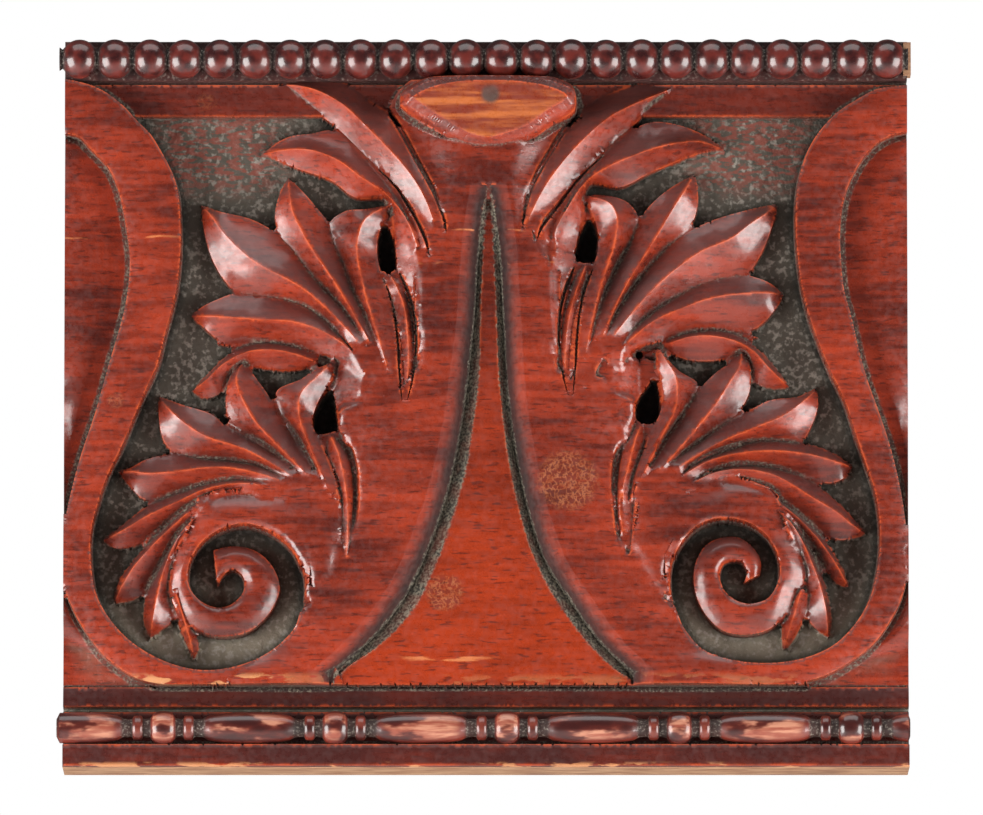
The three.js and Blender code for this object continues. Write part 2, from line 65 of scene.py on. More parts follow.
# Studio
# A white room with a pale floor below the block, two large soft lamps left and right of it and
# a little below, and a broad weaker one overhead.
class Tree:
    """A material's nodes. make() adds one and returns its first output as a Value."""

    def __init__(self, material):
        material.use_nodes = True
        self.nodes = material.node_tree.nodes
        self.links = material.node_tree.links
        self.nodes.clear()

    def make(self, kind, inputs=None, output=0, **settings):
        node = self.nodes.new("ShaderNode" + kind)
        for name, setting in settings.items():
            setattr(node, name, setting)
        for name, given in (inputs or {}).items():
            socket = node.inputs[name]
            if isinstance(given, Value):
                self.links.new(given.socket, socket)
            else:
                socket.default_value = given
        return Value(self, node.outputs[output]) if node.outputs else None


class Value:
    """A socket's output, on which sums can be written as plain expressions."""

    def __init__(self, tree, socket):
        self.tree = tree
        self.socket = socket

    def sum(self, operation, *given):
        return self.tree.make("Math", dict(enumerate(given)), operation=operation)

    def __add__(self, other):
        return self.sum("ADD", self, other)

    __radd__ = __add__

    def __sub__(self, other):
        return self.sum("SUBTRACT", self, other)

    def __rsub__(self, other):
        return self.sum("SUBTRACT", other, self)

    def __mul__(self, other):
        return self.sum("MULTIPLY", self, other)

    __rmul__ = __mul__

    def between(self, low, high):
        """0 below low, 1 above high and smooth between them."""
        inputs = {"Value": self, "From Min": low, "From Max": high}
        return self.tree.make("MapRange", inputs, interpolation_type="SMOOTHSTEP")


ROOM_LIGHT = 0.07  # the room lights the block this much, and looks white to the camera
room = bpy.data.worlds.new("white room")
bpy.context.scene.world = room
tree = Tree(room)
seen = tree.make("LightPath", output="Is Camera Ray")
shine = {"Color": (1, 1, 1, 1), "Strength": ROOM_LIGHT + (1 - ROOM_LIGHT) * seen}
tree.make("OutputWorld", {"Surface": tree.make("Background", shine)})

FLOOR_DROP, FLOOR_REACH = 0.7, 6.0
FLOOR_COLOUR = (0.86, 0.85, 0.84, 1)
floor_finish = bpy.data.materials.new("pale floor")
tree = Tree(floor_finish)
tree.make("OutputMaterial", {"Surface": tree.make("BsdfDiffuse", {"Color": FLOOR_COLOUR})})
floor_mesh = bpy.data.meshes.new("floor")
floor_corners = [
    (x * FLOOR_REACH, y * FLOOR_REACH, 0) for x, y in ((-1, -1), (1, -1), (1, 1), (-1, 1))
]
floor_mesh.from_pydata(floor_corners, [], [(0, 1, 2, 3)])
floor_mesh.materials.append(floor_finish)
floor = bpy.data.objects.new("floor", floor_mesh)
floor.location.z = -FLOOR_DROP
bpy.context.scene.collection.objects.link(floor)

WARM_WHITE, WHITE = (1.0, 0.98, 0.96), (1.0, 1.0, 1.0)
LAMPS = [  # name, place and size in metres, watts, colour
    ("left lamp", (-1.04, -0.50, -0.32), (0.9, 0.9), 23.5, WARM_WHITE),
    ("right lamp", (1.04, -0.50, -0.32), (0.9, 0.9), 20.5, WARM_WHITE),
    ("top lamp", (0.0, -0.40, 1.1), (1.6, 0.8), 8.0, WHITE),
]
for name, place, size, watts, colour in LAMPS:
    light = bpy.data.lights.new(name, "AREA")
    light.shape = "RECTANGLE"
    light.size, light.size_y = size
    light.energy = watts
    light.color = colour
    lamp = bpy.data.objects.new(name, light)
    lamp.location = place
    lamp.rotation_euler = Vector(place).to_track_quat("Z", "Y").to_euler()
    bpy.context.scene.collection.objects.link(lamp)


# Carved panel: the board
# One mahogany board, sawn flat behind and square at its ends. The mouldings that run along it
# are cut first: fascia, channel, groove, hollow fillet, sunk ground and top fillet.
# The front is worked as a relief: a height above the back for every cell, in mm.
CELL = 0.12
HALF_LENGTH, HALF_HEIGHT = 114.0, 99.0
CARVING_FOOT = -76.6
BOARD_SECTION = [  # z, height
    (-99.0, 19.4), (-98.5, 20.0), (-92.9, 20.0), (-92.7, 14.0), (-83.5, 14.0), (-83.1, 11.0),
    (-82.6, 11.2), (-82.1, 15.0), (-80.0, 14.9), (-78.0, 14.4), (-76.7, 14.0),
    (CARVING_FOOT, 11.0), (78.6, 11.0), (78.9, 15.0), (87.5, 15.0), (87.7, 14.0), (99.0, 14.0),
]

xs = np.arange(-HALF_LENGTH, HALF_LENGTH + CELL / 2, CELL)
zs = np.arange(-HALF_HEIGHT, HALF_HEIGHT + CELL / 2, CELL)
section_z, section_h = np.array(BOARD_SECTION).T
relief = np.repeat(np.interp(zs, section_z, section_h)[:, None], len(xs), 1)


# Carved panel: leaves
# Two fans of leaves on each side of the stem, carved in the solid. Each leaf has a sharp crest
# and two scooped faces, and shares its valley with the leaf beside it.
# A point on a line is (x, z, height above the back), in mm, and a line runs from tip to root.
ARRIS_STEP = 0.36  # between the points kept along each line, for the mesh
POINTS_A_CELL = 2.2  # close enough that a surface misses no cell
FULL_SCOOP, MOST_SCOOP = 6.0, 1.3  # a strip this wide is scooped in full, wider ones a bit more
LEAF_SCOOP = 0.45


def smooth(points, count):
    """A smooth curve through the points, at count even steps."""
    p = np.array(points, float)
    step = np.sqrt(((p[1:, :2] - p[:-1, :2]) ** 2).sum(1))
    along = np.concatenate([[0], np.cumsum(step)])
    slope = (p[1:] - p[:-1]) / step[:, None]
    turn = np.empty_like(p)
    before, after = step[:-1, None], step[1:, None]
    turn[1:-1] = (slope[:-1] * after + slope[1:] * before) / (before + after)
    turn[0] = 1.5 * slope[0] - 0.5 * turn[1] if len(p) > 2 else slope[0]
    turn[-1] = 1.5 * slope[-1] - 0.5 * turn[-2] if len(p) > 2 else slope[0]
    at = np.linspace(0, along[-1], count)
    i = np.clip(np.searchsorted(along, at, side="right") - 1, 0, len(step) - 1)
    u = ((at - along[i]) / step[i])[:, None]
    w = step[i][:, None]
    value = (2 * u**3 - 3 * u**2 + 1) * p[i] + (3 * u**2 - 2 * u**3) * p[i + 1]
    return value + w * ((u**3 - 2 * u**2 + u) * turn[i] + (u**3 - u**2) * turn[i + 1])


def reach(points):
    """The length of a line of points, in mm."""
    p = np.array(points, float)
    return float(np.sqrt(((p[1:, :2] - p[:-1, :2]) ** 2).sum(1)).sum())


arrises = []


def keep_arris(line):
    """Notes the line, in close steps, as one that the mesh should follow."""
    arrises.append(smooth(line, int(reach(line) / ARRIS_STEP) + 2))


def loft(lines, scoop):
    """Lifts the relief to a surface through lines side by side, each strip of it scooped."""
    count = int(max(reach(line) for line in lines) / CELL * POINTS_A_CELL) + 2
    curves = [smooth(line, count) for line in lines]
    for line in lines:
        keep_arris(line)
    for one, other in zip(curves, curves[1:]):
        gap = np.sqrt(((one[:, :2] - other[:, :2]) ** 2).sum(1))
        share = np.linspace(0, 1, int(gap.max() / CELL * POINTS_A_CELL) + 2)[None, :, None]
        surface = one[:, None] * (1 - share) + other[:, None] * share
        share = share[:, :, 0]
        depth = scoop * np.minimum(gap[:, None] / FULL_SCOOP, MOST_SCOOP)
        x, z, h = surface[:, :, 0], surface[:, :, 1], surface[:, :, 2]
        h = h - depth * 4 * share * (1 - share)
        column = np.rint((x + HALF_LENGTH) / CELL).astype(int)
        row = np.rint((z + HALF_HEIGHT) / CELL).astype(int)
        on = (column >= 0) & (column < len(xs)) & (row >= 0) & (row < len(zs))
        np.maximum.at(relief, (row[on], column[on]), h[on])


def leaf(over, crest, under):
    """One leaf, from the three lines that bound its two faces."""
    loft([over, crest, under], LEAF_SCOOP)


# Left upper fan, from the stem outwards
# long top leaf
parting_a1 = [(-24.6, 59.8, 18.5), (-19.7, 53, 20.5), (-15.7, 42.6, 22.6)]
leaf(
    [(-55.7, 88.4, 13), (-50.3, 89.1, 14), (-40, 88.7, 15), (-31.6, 82.9, 15.5),
     (-25.9, 79.2, 16.5), (-20.5, 71, 18.5), (-15.1, 61.2, 20.5), (-10.8, 48.6, 22.6)],
    [(-55.7, 87.7, 14), (-48.9, 86.5, 18.5), (-40, 82.2, 20.5), (-31.6, 74.4, 21.5),
     (-17.3, 56.8, 22.4), (-13.5, 47.2, 22.8)],
    [(-55.7, 87.3, 13), (-49.5, 82.5, 14), (-41.1, 76.4, 15), (-33.2, 68.5, 16.5)] + parting_a1,
)
# second top leaf
leaf(
    [(-60.5, 69.1, 12.5), (-53, 73.4, 15), (-47.3, 74.1, 15.5), (-42.2, 75, 15.5),
     (-33.2, 68.3, 16.5)] + parting_a1,
    [(-60.5, 69, 13), (-46.8, 68.9, 19.5), (-40, 66.1, 20.5), (-33.8, 61.4, 21), (-27.3, 57, 21),
     (-22.7, 51.7, 21.5), (-17.6, 37.1, 22.5), (-18.1, 22.1, 22.5), (-18.6, 9.6, 22.5)],
    [(-60.5, 68.8, 12.5), (-50.3, 64.4, 14.5), (-41.6, 61.1, 15), (-35.7, 56.7, 15.5),
     (-26.8, 55.5, 16), (-25.1, 48.9, 16.5), (-23.8, 35.9, 17.5), (-20.8, 27.9, 18.5),
     (-18.6, 9.1, 22)],
)
# lobe beside the upper eye
parting_b3 = [(-42.4, 49.4, 15), (-41.4, 45, 15), (-38.9, 38.9, 15.5), (-36.2, 31.1, 17),
     (-33.5, 25.4, 18.5), (-28.6, 9.9, 22)]
leaf(
    [(-26.2, 54, 17), (-29.5, 41.4, 17), (-27.3, 32.4, 17.5), (-25.4, 26.8, 18),
     (-23.5, 17.9, 19.5), (-22.4, 0.3, 22)],
    [(-26.5, 53.7, 19), (-33, 49.5, 20), (-34.6, 44.8, 20.3), (-33, 31.1, 21), (-29.2, 18.1, 21.7),
     (-26.5, 8.5, 22)],
    [(-26.5, 54.3, 17), (-32.7, 53.1, 17.5), (-38.1, 52.6, 17)] + parting_b3,
)
# upright leaf
parting_b2 = [(-52.4, 42.5, 15), (-47.3, 35.6, 15.5), (-37.3, 24, 18.5), (-32.4, 15.4, 21.5)]
leaf(
    [(-53.5, 62.2, 13), (-50.5, 59.1, 15.5), (-44.9, 52.6, 15.5)] + parting_b3,
    [(-53.5, 62.1, 14), (-53.2, 57.7, 18), (-52.2, 52, 19.5), (-49.5, 46.2, 20),
     (-39.5, 30.5, 20.8), (-31.4, 16.2, 21.7)],
    [(-53.8, 61.9, 13), (-55.7, 58.1, 15), (-56.8, 49.1, 15), (-55.9, 46.6, 15)] + parting_b2,
)
# broad leaf
parting_b1 = [(-63.8, 30.2, 15), (-50.3, 27.5, 15.3), (-35.7, 14.3, 21.5)]
leaf(
    [(-77, 54.8, 13), (-73.2, 53.1, 15.5), (-62.4, 50.2, 15), (-55.7, 46.1, 15)] + parting_b2,
    [(-77, 54.4, 14), (-74.6, 51.7, 17.5), (-71.4, 46.9, 19), (-64.9, 40.2, 20),
     (-48.4, 30.3, 20.5), (-34.1, 15.7, 21.7)],
    [(-77, 54, 13), (-76.5, 49.1, 15), (-75.4, 43.6, 15), (-70.8, 34.1, 15),
     (-67.6, 30.8, 15)] + parting_b1,
)
# level leaf
leaf(
    [(-79.5, 24.8, 13), (-76.8, 26.7, 15), (-72.4, 28.8, 15.5), (-67.6, 30.5, 15)] + parting_b1,
    [(-79.5, 24.4, 14), (-74.6, 23.8, 18), (-62.4, 22.8, 19.5), (-50.3, 21.6, 20.3),
     (-35.4, 12.7, 21.5), (-32.4, 8, 22)],
    [(-79.2, 24, 13), (-76.2, 21, 15), (-71.4, 17.5, 14.5), (-66.5, 18.3, 14.5),
     (-61.1, 18.3, 14.5), (-50.3, 15.8, 15), (-44.9, 13.8, 15.5), (-40.8, 12.1, 16),
     (-37.8, 8.9, 17.5), (-33.5, 1.7, 22)],
)
# thin crescent leaf
leaf(
    [(-79.5, 4.1, 12.5), (-77.3, 6.4, 13.5), (-64.3, 16.7, 14), (-54.3, 17, 14),
     (-44.9, 13.5, 15.5)],
    [(-79.5, 4, 13.5), (-75.9, 6.2, 17), (-71.4, 10.4, 18), (-65.4, 13.7, 18.5), (-48.9, 12.6, 18),
     (-45.9, 11.4, 17)],
    [(-79.2, 3.6, 12.5), (-76.5, 2.1, 13.5), (-73, 2.7, 13), (-69.7, 7, 13), (-65.7, 11.3, 13.5),
     (-62.4, 10.5, 14), (-57, 9.6, 14), (-51.1, 9.6, 14), (-45.9, 10.9, 14.5)],
)

# Left lower fan, from the stem outwards
# lobe beside the lower eye
leaf(
    [(-42.2, 11.3, 16), (-45.9, 9.5, 17), (-49.5, 7, 17), (-56.8, 2.9, 15), (-56.2, 0.2, 15),
     (-51.6, -8, 15.5), (-44.1, -21.9, 21)],
    [(-41.9, 10.7, 18.5), (-44.9, 7.8, 19.5), (-50.3, 1.4, 20.3), (-50.5, -2.7, 20.5),
     (-47.3, -12.6, 21), (-42.4, -24.7, 21.7)],
    [(-41.4, 10.7, 16), (-41.4, 7.3, 17), (-43.5, 4, 17), (-46.8, -3.9, 17), (-43, -14.7, 18.5),
     (-40.8, -20.7, 20), (-39.2, -28.3, 21.5)],
)
# pointed leaf
leaf(
    [(-65.9, 12, 13), (-68.4, 8.7, 15), (-70, 4.6, 15), (-70.3, 0.3, 14.5), (-69.5, -4.1, 14.5),
     (-66.5, -6.6, 15), (-58.9, -11.7, 16), (-49.7, -19.7, 21)],
    [(-65.7, 11.8, 14), (-67.3, 8.1, 17.5), (-64.6, -1.3, 19.7), (-54.6, -13.4, 20.6),
     (-48.1, -20, 21.3)],
    [(-65.1, 12, 13), (-62.4, 7.6, 15), (-60, 4.3, 15), (-52.7, -8, 15.5), (-44.9, -20.8, 21)],
)
# broad leaf
parting_c1 = [(-78.6, -14.2, 14.5), (-67.8, -15.4, 15.5), (-62.4, -16.4, 16.5), (-54.1, -21.1, 21)]
leaf(
    [(-88.1, 2.4, 13), (-82.7, 0.2, 15), (-73.5, -3, 14.5), (-69.7, -6.3, 14.5), (-66.5, -8, 15),
     (-57.8, -13.4, 17), (-50.8, -19.4, 21)],
    [(-88.1, 2, 14), (-85.9, -1.2, 17.5), (-77.3, -8.3, 19.7), (-64.3, -13.1, 20.2),
     (-51.9, -20.6, 21.2)],
    [(-88.4, 1.9, 13), (-88.4, -2.8, 15), (-86.2, -11.2, 14.5), (-84.6, -12.7, 14)] + parting_c1,
)
# level leaf
parting_c0 = [(-85.4, -24.5, 14), (-70.5, -20.7, 16.5), (-65.1, -20.7, 18), (-57.8, -23, 21)]
leaf(
    [(-99.2, -17.8, 13), (-95.7, -17, 15), (-92.7, -15.3, 15), (-88.1, -13.9, 14.5),
     (-84.1, -13.3, 14.3)] + parting_c1,
    [(-99.2, -18.2, 14), (-95.7, -18.4, 17), (-91.4, -19.1, 18.5), (-86.5, -18.9, 19.3),
     (-69.7, -17.7, 20.2), (-54.6, -21.6, 21)],
    [(-98.9, -18.6, 13), (-96.2, -22, 14), (-92.4, -25.6, 14)] + parting_c0,
)
# first falling leaf
leaf(
    [(-103.2, -36.4, 13), (-99.5, -33.8, 14), (-91.9, -27.8, 14)] + parting_c0,
    [(-103.2, -36.7, 13.5), (-97, -34, 18), (-92.2, -31.2, 19), (-81.9, -26.4, 19.8),
     (-77.3, -24.2, 20), (-66.5, -22.1, 20.5), (-60.5, -22.5, 21)],
    [(-103, -37.2, 13), (-99.7, -38.9, 13.5), (-96.2, -38.6, 13.5), (-84.9, -31.1, 14.5),
     (-77.3, -26.3, 17), (-70.3, -24.1, 21)],
)
# second falling leaf
parting_cm2 = [(-86.5, -40.7, 14.5), (-81.1, -33.4, 17), (-75.1, -28.5, 21)]
leaf(
    [(-100.3, -53.3, 13), (-99.7, -49.9, 14), (-92.7, -39.5, 14), (-84.1, -30.8, 14.5),
     (-77.3, -26.3, 17)],
    [(-100.3, -53.6, 13.5), (-98.6, -50.3, 17), (-95.9, -45.9, 18.5), (-89.2, -38.1, 19.3),
     (-82.2, -31.6, 19.8), (-78.4, -28.3, 20), (-74.6, -26.2, 20.5)],
    [(-99.7, -53.8, 13), (-93.2, -51.7, 13.5), (-91.4, -49, 13.5),
     (-89.2, -44.7, 14)] + parting_cm2,
)
# third falling leaf
leaf(
    [(-90.8, -62.8, 13), (-92.2, -59.1, 13.5), (-92.2, -54.4, 13.5)] + parting_cm2,
    [(-90.5, -63.2, 13.5), (-90, -59.6, 17), (-89.2, -55.3, 18), (-85.9, -42.7, 19.3),
     (-81.9, -35.1, 20), (-78.9, -31.9, 20.5)],
    [(-90.3, -63.1, 13), (-87.8, -61.3, 14), (-85.1, -59.2, 14.5), (-84.9, -54.7, 15),
     (-84.9, -46.7, 16.5), (-83, -38.9, 19.5), (-80.8, -35.8, 21)],
)
# small leaf under the volute
leaf(
    [(-79.2, -68.8, 13), (-80.5, -65.4, 14), (-83.8, -56.6, 15), (-84.6, -52.9, 16)],
    [(-78.9, -69, 14), (-79.7, -64.4, 16.5), (-81.1, -59.6, 17.5), (-83.8, -51.2, 19.5)],
    [(-78.4, -68.8, 13), (-77.6, -65.4, 14), (-78.4, -62, 14.5), (-80.8, -56.8, 17)],
)
# ridge below the upper eye L
leaf(
    [(-25.4, 36.8, 15), (-23.8, 35.2, 16.5), (-20.8, 28, 17.5), (-19.2, 18, 19), (-19.5, 6, 20.5),
     (-21.1, -1.3, 22)],
    [(-26.2, 35.6, 18), (-22.2, 26.5, 20.5), (-21.1, 18.2, 21), (-21.6, -0.7, 21.8)],
    [(-27.3, 36.3, 15), (-27.6, 33.8, 17), (-25.4, 28, 17.5), (-23.5, 18, 19), (-21.9, -1.3, 22)],
)
# ridge below the lower eye L
leaf(
    [(-40.3, -7.2, 15), (-37, -14.6, 17.5), (-35.7, -22.9, 18.5), (-37.3, -46, 21.7)],
    [(-42.2, -8.4, 18), (-40.5, -12.2, 20), (-38.1, -21.9, 21), (-37.8, -45.5, 21.7)],
    [(-44.6, -8, 15), (-43, -14.6, 17.5), (-40.8, -20.5, 18.5), (-39.2, -28, 19.5),
     (-38.9, -36.3, 20.5), (-38.4, -44.6, 21.6)],
)

# Right upper fan, from the stem outwards
# long top leaf
parting_a1 = [(21.4, 58.6, 19), (15.9, 51.8, 21), (12.7, 45.3, 22.6)]
leaf(
    [(51.4, 87.9, 13), (45.7, 88.3, 14), (41.6, 87.6, 15), (25.4, 79.9, 15.5), (16.8, 67.4, 18.5),
     (12.7, 60.7, 20), (8.6, 48.9, 22.6)],
    [(51.4, 87.2, 14), (47, 84.8, 17.5), (41.6, 82.3, 19.5), (33, 77.5, 21), (26.2, 71.4, 21.7),
     (15.9, 58.4, 22.3), (10.5, 47.2, 22.8)],
    [(51.1, 87, 13), (45.7, 83.3, 14), (41.6, 78.1, 14.5), (35.4, 72.8, 15.5)] + parting_a1,
)
# second top leaf
leaf(
    [(64.3, 70.5, 12.5), (55.1, 75.6, 15), (44.3, 77.1, 15.5), (35.4, 72.2, 15.5)] + parting_a1,
    [(64.3, 70.1, 13), (57.8, 71.7, 17.5), (52.4, 71.1, 19.5), (41.6, 68, 20.7), (26.2, 59.2, 21),
     (22.2, 53.1, 21.5), (18.9, 46.8, 22), (17.6, 38.5, 22.5), (19.5, 9.6, 22.5)],
    [(64.3, 69.9, 12.5), (57.8, 68.9, 13.5), (52.4, 66.9, 14.5), (44.3, 63.3, 15),
     (36.2, 59.4, 15.5), (28.1, 59.9, 16), (26.2, 51.6, 16.5), (24.6, 44.7, 17),
     (24.1, 38.6, 17.5),
     (20.3, 21.1, 20), (19.5, 9.6, 22)],
)
# lobe beside the upper eye
parting_b3 = [(37.6, 41.7, 15), (31.9, 29.6, 17.5), (29.5, 16.8, 21.5)]
leaf(
    [(27.3, 56.7, 17), (28.1, 53.4, 17), (29.5, 50.2, 17), (30, 40.6, 17), (27.6, 35.1, 17.5),
     (24.6, 25.8, 19.5), (22.7, 8.5, 22)],
    [(27.8, 56.4, 19), (34.1, 53.6, 20), (35.4, 50.5, 20.3), (35.1, 45.6, 20.5), (31.1, 31.9, 21),
     (26.5, 11.3, 22)],
    [(27.8, 57, 17), (31.6, 56.9, 17.5), (38.9, 54.7, 16), (41.1, 51.5, 15.5),
     (40.3, 47.2, 15)] + parting_b3,
)
# upright leaf
parting_b2 = [(52.4, 45.8, 15), (49.2, 43.4, 15), (46.2, 40, 15.3), (39.7, 32, 16.5),
     (34.1, 22.5, 19.5), (32.4, 17.3, 21.5)]
leaf(
    [(56.2, 63, 13), (51.1, 60, 15), (43.8, 53.7, 15.5)] + parting_b3,
    [(55.9, 62.6, 14), (53.8, 58.2, 18), (51.6, 54.5, 19.3), (43, 40.2, 20.3), (39.5, 34.7, 20.6),
     (31.4, 17.6, 21.8)],
    [(56.8, 62.7, 13), (57, 53.1, 15.5), (55.1, 48.3, 15)] + parting_b2,
)
# broad leaf
parting_b1 = [(66.5, 35, 14.5), (61.9, 34.1, 14.7), (50.3, 28.8, 15.7), (42.4, 22.7, 18),
     (36.2, 15.4, 21.5)]
leaf(
    [(78.4, 55.1, 13), (68.6, 52.6, 15.5), (59.5, 49.7, 14.5)] + parting_b2,
    [(78.6, 54.7, 14), (75.4, 51.7, 17.5), (71.4, 48.8, 19), (67.3, 45.5, 19.5), (57.8, 41, 20),
     (49.7, 35, 20.4), (34.3, 17.6, 21.8)],
    [(78.9, 54.5, 13), (77.8, 49.9, 15), (73.2, 39, 15), (70.8, 35.8, 14.5)] + parting_b1,
)
# level leaf
leaf(
    [(80.3, 30.5, 13), (77.6, 32.7, 15), (73.5, 34.6, 15), (70, 35.5, 14.5)] + parting_b1,
    [(80.3, 30.1, 14), (76.8, 30.2, 17.5), (71.4, 30, 19), (57.8, 27.6, 20), (53.8, 26, 20.3),
     (45.7, 22.3, 20.8), (35.7, 13.4, 22)],
    [(80.3, 29.7, 13), (78.1, 25.9, 15), (71.4, 20.5, 14.5), (67.3, 21, 14.5), (53.8, 20.4, 15),
     (45.7, 16.7, 16), (42.2, 15.5, 17), (38.9, 13.1, 18.5), (36.2, 9.2, 21)],
)
# thin crescent leaf
leaf(
    [(81.9, 5.5, 12.5), (75.4, 13.5, 14), (67.3, 19.7, 14), (53.8, 19.7, 14.3),
     (47.6, 17.1, 15.5)],
    [(81.9, 5.1, 13.5), (76.2, 10, 17.5), (71.9, 14.5, 18.3), (68.6, 16.4, 18.5),
     (56.5, 18.3, 18.5), (48.9, 16.3, 17)],
    [(81.6, 4.7, 12.5), (77.3, 4.6, 13), (73.2, 6, 13), (69.2, 14.6, 13.5), (65.4, 12.9, 14),
     (60.5, 12.1, 14), (51.1, 13.7, 14), (48.1, 15.8, 14.5)],
)

# Right lower fan, from the stem outwards
# lobe beside the lower eye
leaf(
    [(47, 15.1, 16), (51.9, 9.2, 17), (57.3, 5.4, 15), (55.7, 1.3, 15), (51.1, -5.3, 15.3),
     (45.9, -12.7, 17.5), (41.9, -20.5, 21)],
    [(46.8, 14.7, 18.5), (48.9, 11.1, 19.5), (50.8, 8, 20), (51.4, -0.3, 20.5), (47.3, -9.9, 21),
     (42.4, -20.1, 21.8)],
    [(45.9, 14.8, 16), (46.2, 10.6, 17), (47.3, 6.5, 17), (46.8, -3.1, 17), (45.4, -5.8, 17.3),
     (41.9, -15.1, 19), (38.9, -26.9, 21.7)],
)
# pointed leaf
parting_c2 = [(63.8, -5.5, 15), (56.5, -10.9, 16.5), (53.2, -13.3, 18), (49.7, -17.2, 20.5)]
leaf(
    [(68.9, 15, 13), (66.2, 11.7, 15), (62.7, 9.2, 15), (57.3, 3.8, 15), (48.6, -8.7, 16),
     (41.9, -20.5, 21)],
    [(69.2, 14.6, 14), (68.4, 9.9, 18), (66.2, 6.2, 19.3), (63.5, 1.7, 19.8), (57.3, -6.5, 20.3),
     (47.3, -18.4, 21.4)],
    [(69.7, 14.7, 13), (71.4, 10, 15), (71.4, 4.6, 15), (67.8, -2.4, 14.5)] + parting_c2,
)
# broad leaf
parting_c1 = [(80.8, -9.8, 14.3), (75.4, -9.5, 14.5), (62.7, -13, 15.7), (59.2, -14.5, 16.5),
     (52.4, -20.3, 21)]
leaf(
    [(89.2, 4.9, 13), (84.9, 2.4, 15), (76.2, 1.1, 14.5), (71.4, -1.4, 14.5)] + parting_c2,
    [(89.2, 4.2, 14), (86.2, 1, 17.5), (79.5, -3.9, 19.3), (74.1, -6.2, 19.7), (62.7, -11.2, 20.3),
     (51.6, -18.1, 21.3)],
    [(89.5, 4, 13), (89.7, -0.1, 15), (88.4, -4.7, 15), (85.1, -9.8, 14.5)] + parting_c1,
)
# level leaf
parting_c0 = [(80.8, -17.7, 14.5), (66.8, -16.8, 15.7), (55.1, -21.9, 21)]
leaf(
    [(98.9, -16.4, 13), (96.2, -14.7, 14.5), (93, -12.8, 14.5)] + parting_c1,
    [(98.9, -16.8, 14), (95.1, -16, 17.5), (90.8, -14.8, 18.7), (70, -13.6, 20.2),
     (60.5, -15.9, 20.7), (53.2, -20, 21.3)],
    [(98.9, -17, 13), (96.2, -20.2, 14.5), (92.4, -21.3, 14.5), (88.9, -20.4, 14.3)] + parting_c0,
)
# first falling leaf
parting_cm1 = [(80.8, -27.1, 15), (72.7, -22.9, 16.5), (63.8, -22.9, 20.5)]
leaf(
    [(102.2, -34.4, 13), (98.9, -30.6, 14.5), (91.6, -23.7, 14.3),
     (84.9, -19.1, 14.3)] + parting_c0,
    [(102.2, -34.9, 14), (98.4, -32.5, 17), (95.1, -30, 18.3), (88.1, -25.8, 19.4),
     (76.2, -19.3, 20.2), (60.5, -19.7, 21), (56.5, -21.7, 21.3)],
    [(101.9, -35.3, 13), (94.6, -36.5, 14), (88.1, -31.9, 14.2)] + parting_cm1,
)
# second falling leaf
parting_cm2 = [(86.2, -36.3, 14.5), (81.4, -30.5, 16), (75.1, -26.6, 19.5)]
leaf(
    [(97.8, -48.6, 13), (95.1, -42.5, 14)] + parting_cm1,
    [(97.8, -49.3, 13.5), (95.7, -45.9, 17), (93.8, -42.8, 18), (86.2, -33.4, 19.5),
     (79.5, -27.8, 20), (72.7, -24.6, 20.7)],
    [(97.3, -49.5, 13), (94.6, -48.2, 13.5), (92.7, -46, 13.5), (88.4, -39, 14)] + parting_cm2,
)
# third falling leaf
leaf(
    [(92.7, -62.6, 13), (93.2, -58, 13.5), (92.4, -53.1, 13.5), (89.7, -43.9, 14)] + parting_cm2,
    [(92.4, -62.9, 13.5), (91.9, -57.7, 17), (88.1, -44, 19), (82.7, -33.5, 20.2),
     (80, -30.3, 20.6)],
    [(92.2, -63.1, 13), (87, -58.1, 14.5), (86.8, -53.3, 15), (85.9, -43.9, 16.5),
     (80.8, -33.9, 21)],
)
# small leaf under the volute
leaf(
    [(80, -66.1, 13), (80.3, -59.2, 14.5), (83.8, -52.2, 17)],
    [(80.5, -66.3, 14), (81.6, -62.2, 16.5), (83, -57.7, 17.5), (85.1, -50.1, 19.5)],
    [(81.4, -66.1, 13), (85.1, -59.5, 14.5), (86.8, -52.1, 16)],
)
# ridge below the upper eye R
leaf(
    [(24.6, 39, 15), (20.5, 22.6, 19), (20, 14.2, 20.5), (21.1, 4.7, 22)],
    [(27.3, 38.3, 18), (25.9, 34.7, 20), (22.7, 24.5, 21), (21.4, 5.3, 21.8)],
    [(29.5, 39, 15), (27.6, 35.2, 17), (24.6, 25.9, 19), (22.4, 5.8, 22)],
)
# ridge below the lower eye R
leaf(
    [(39.5, -3.6, 15), (37.8, -7.2, 17), (35.4, -16.9, 18.5), (35.1, -30.8, 20.5),
     (36.2, -36.5, 21.7)],
    [(41.9, -5.7, 18), (40.5, -9.5, 20), (38.4, -17.8, 21), (37, -22.8, 21.3),
     (36.8, -36.5, 21.7)],
    [(44.6, -5.5, 15), (43, -9.9, 17), (41.9, -14.1, 17.5), (40, -19.6, 18.5), (38.4, -30.8, 20.5),
     (37.3, -36.5, 21.6)],
)


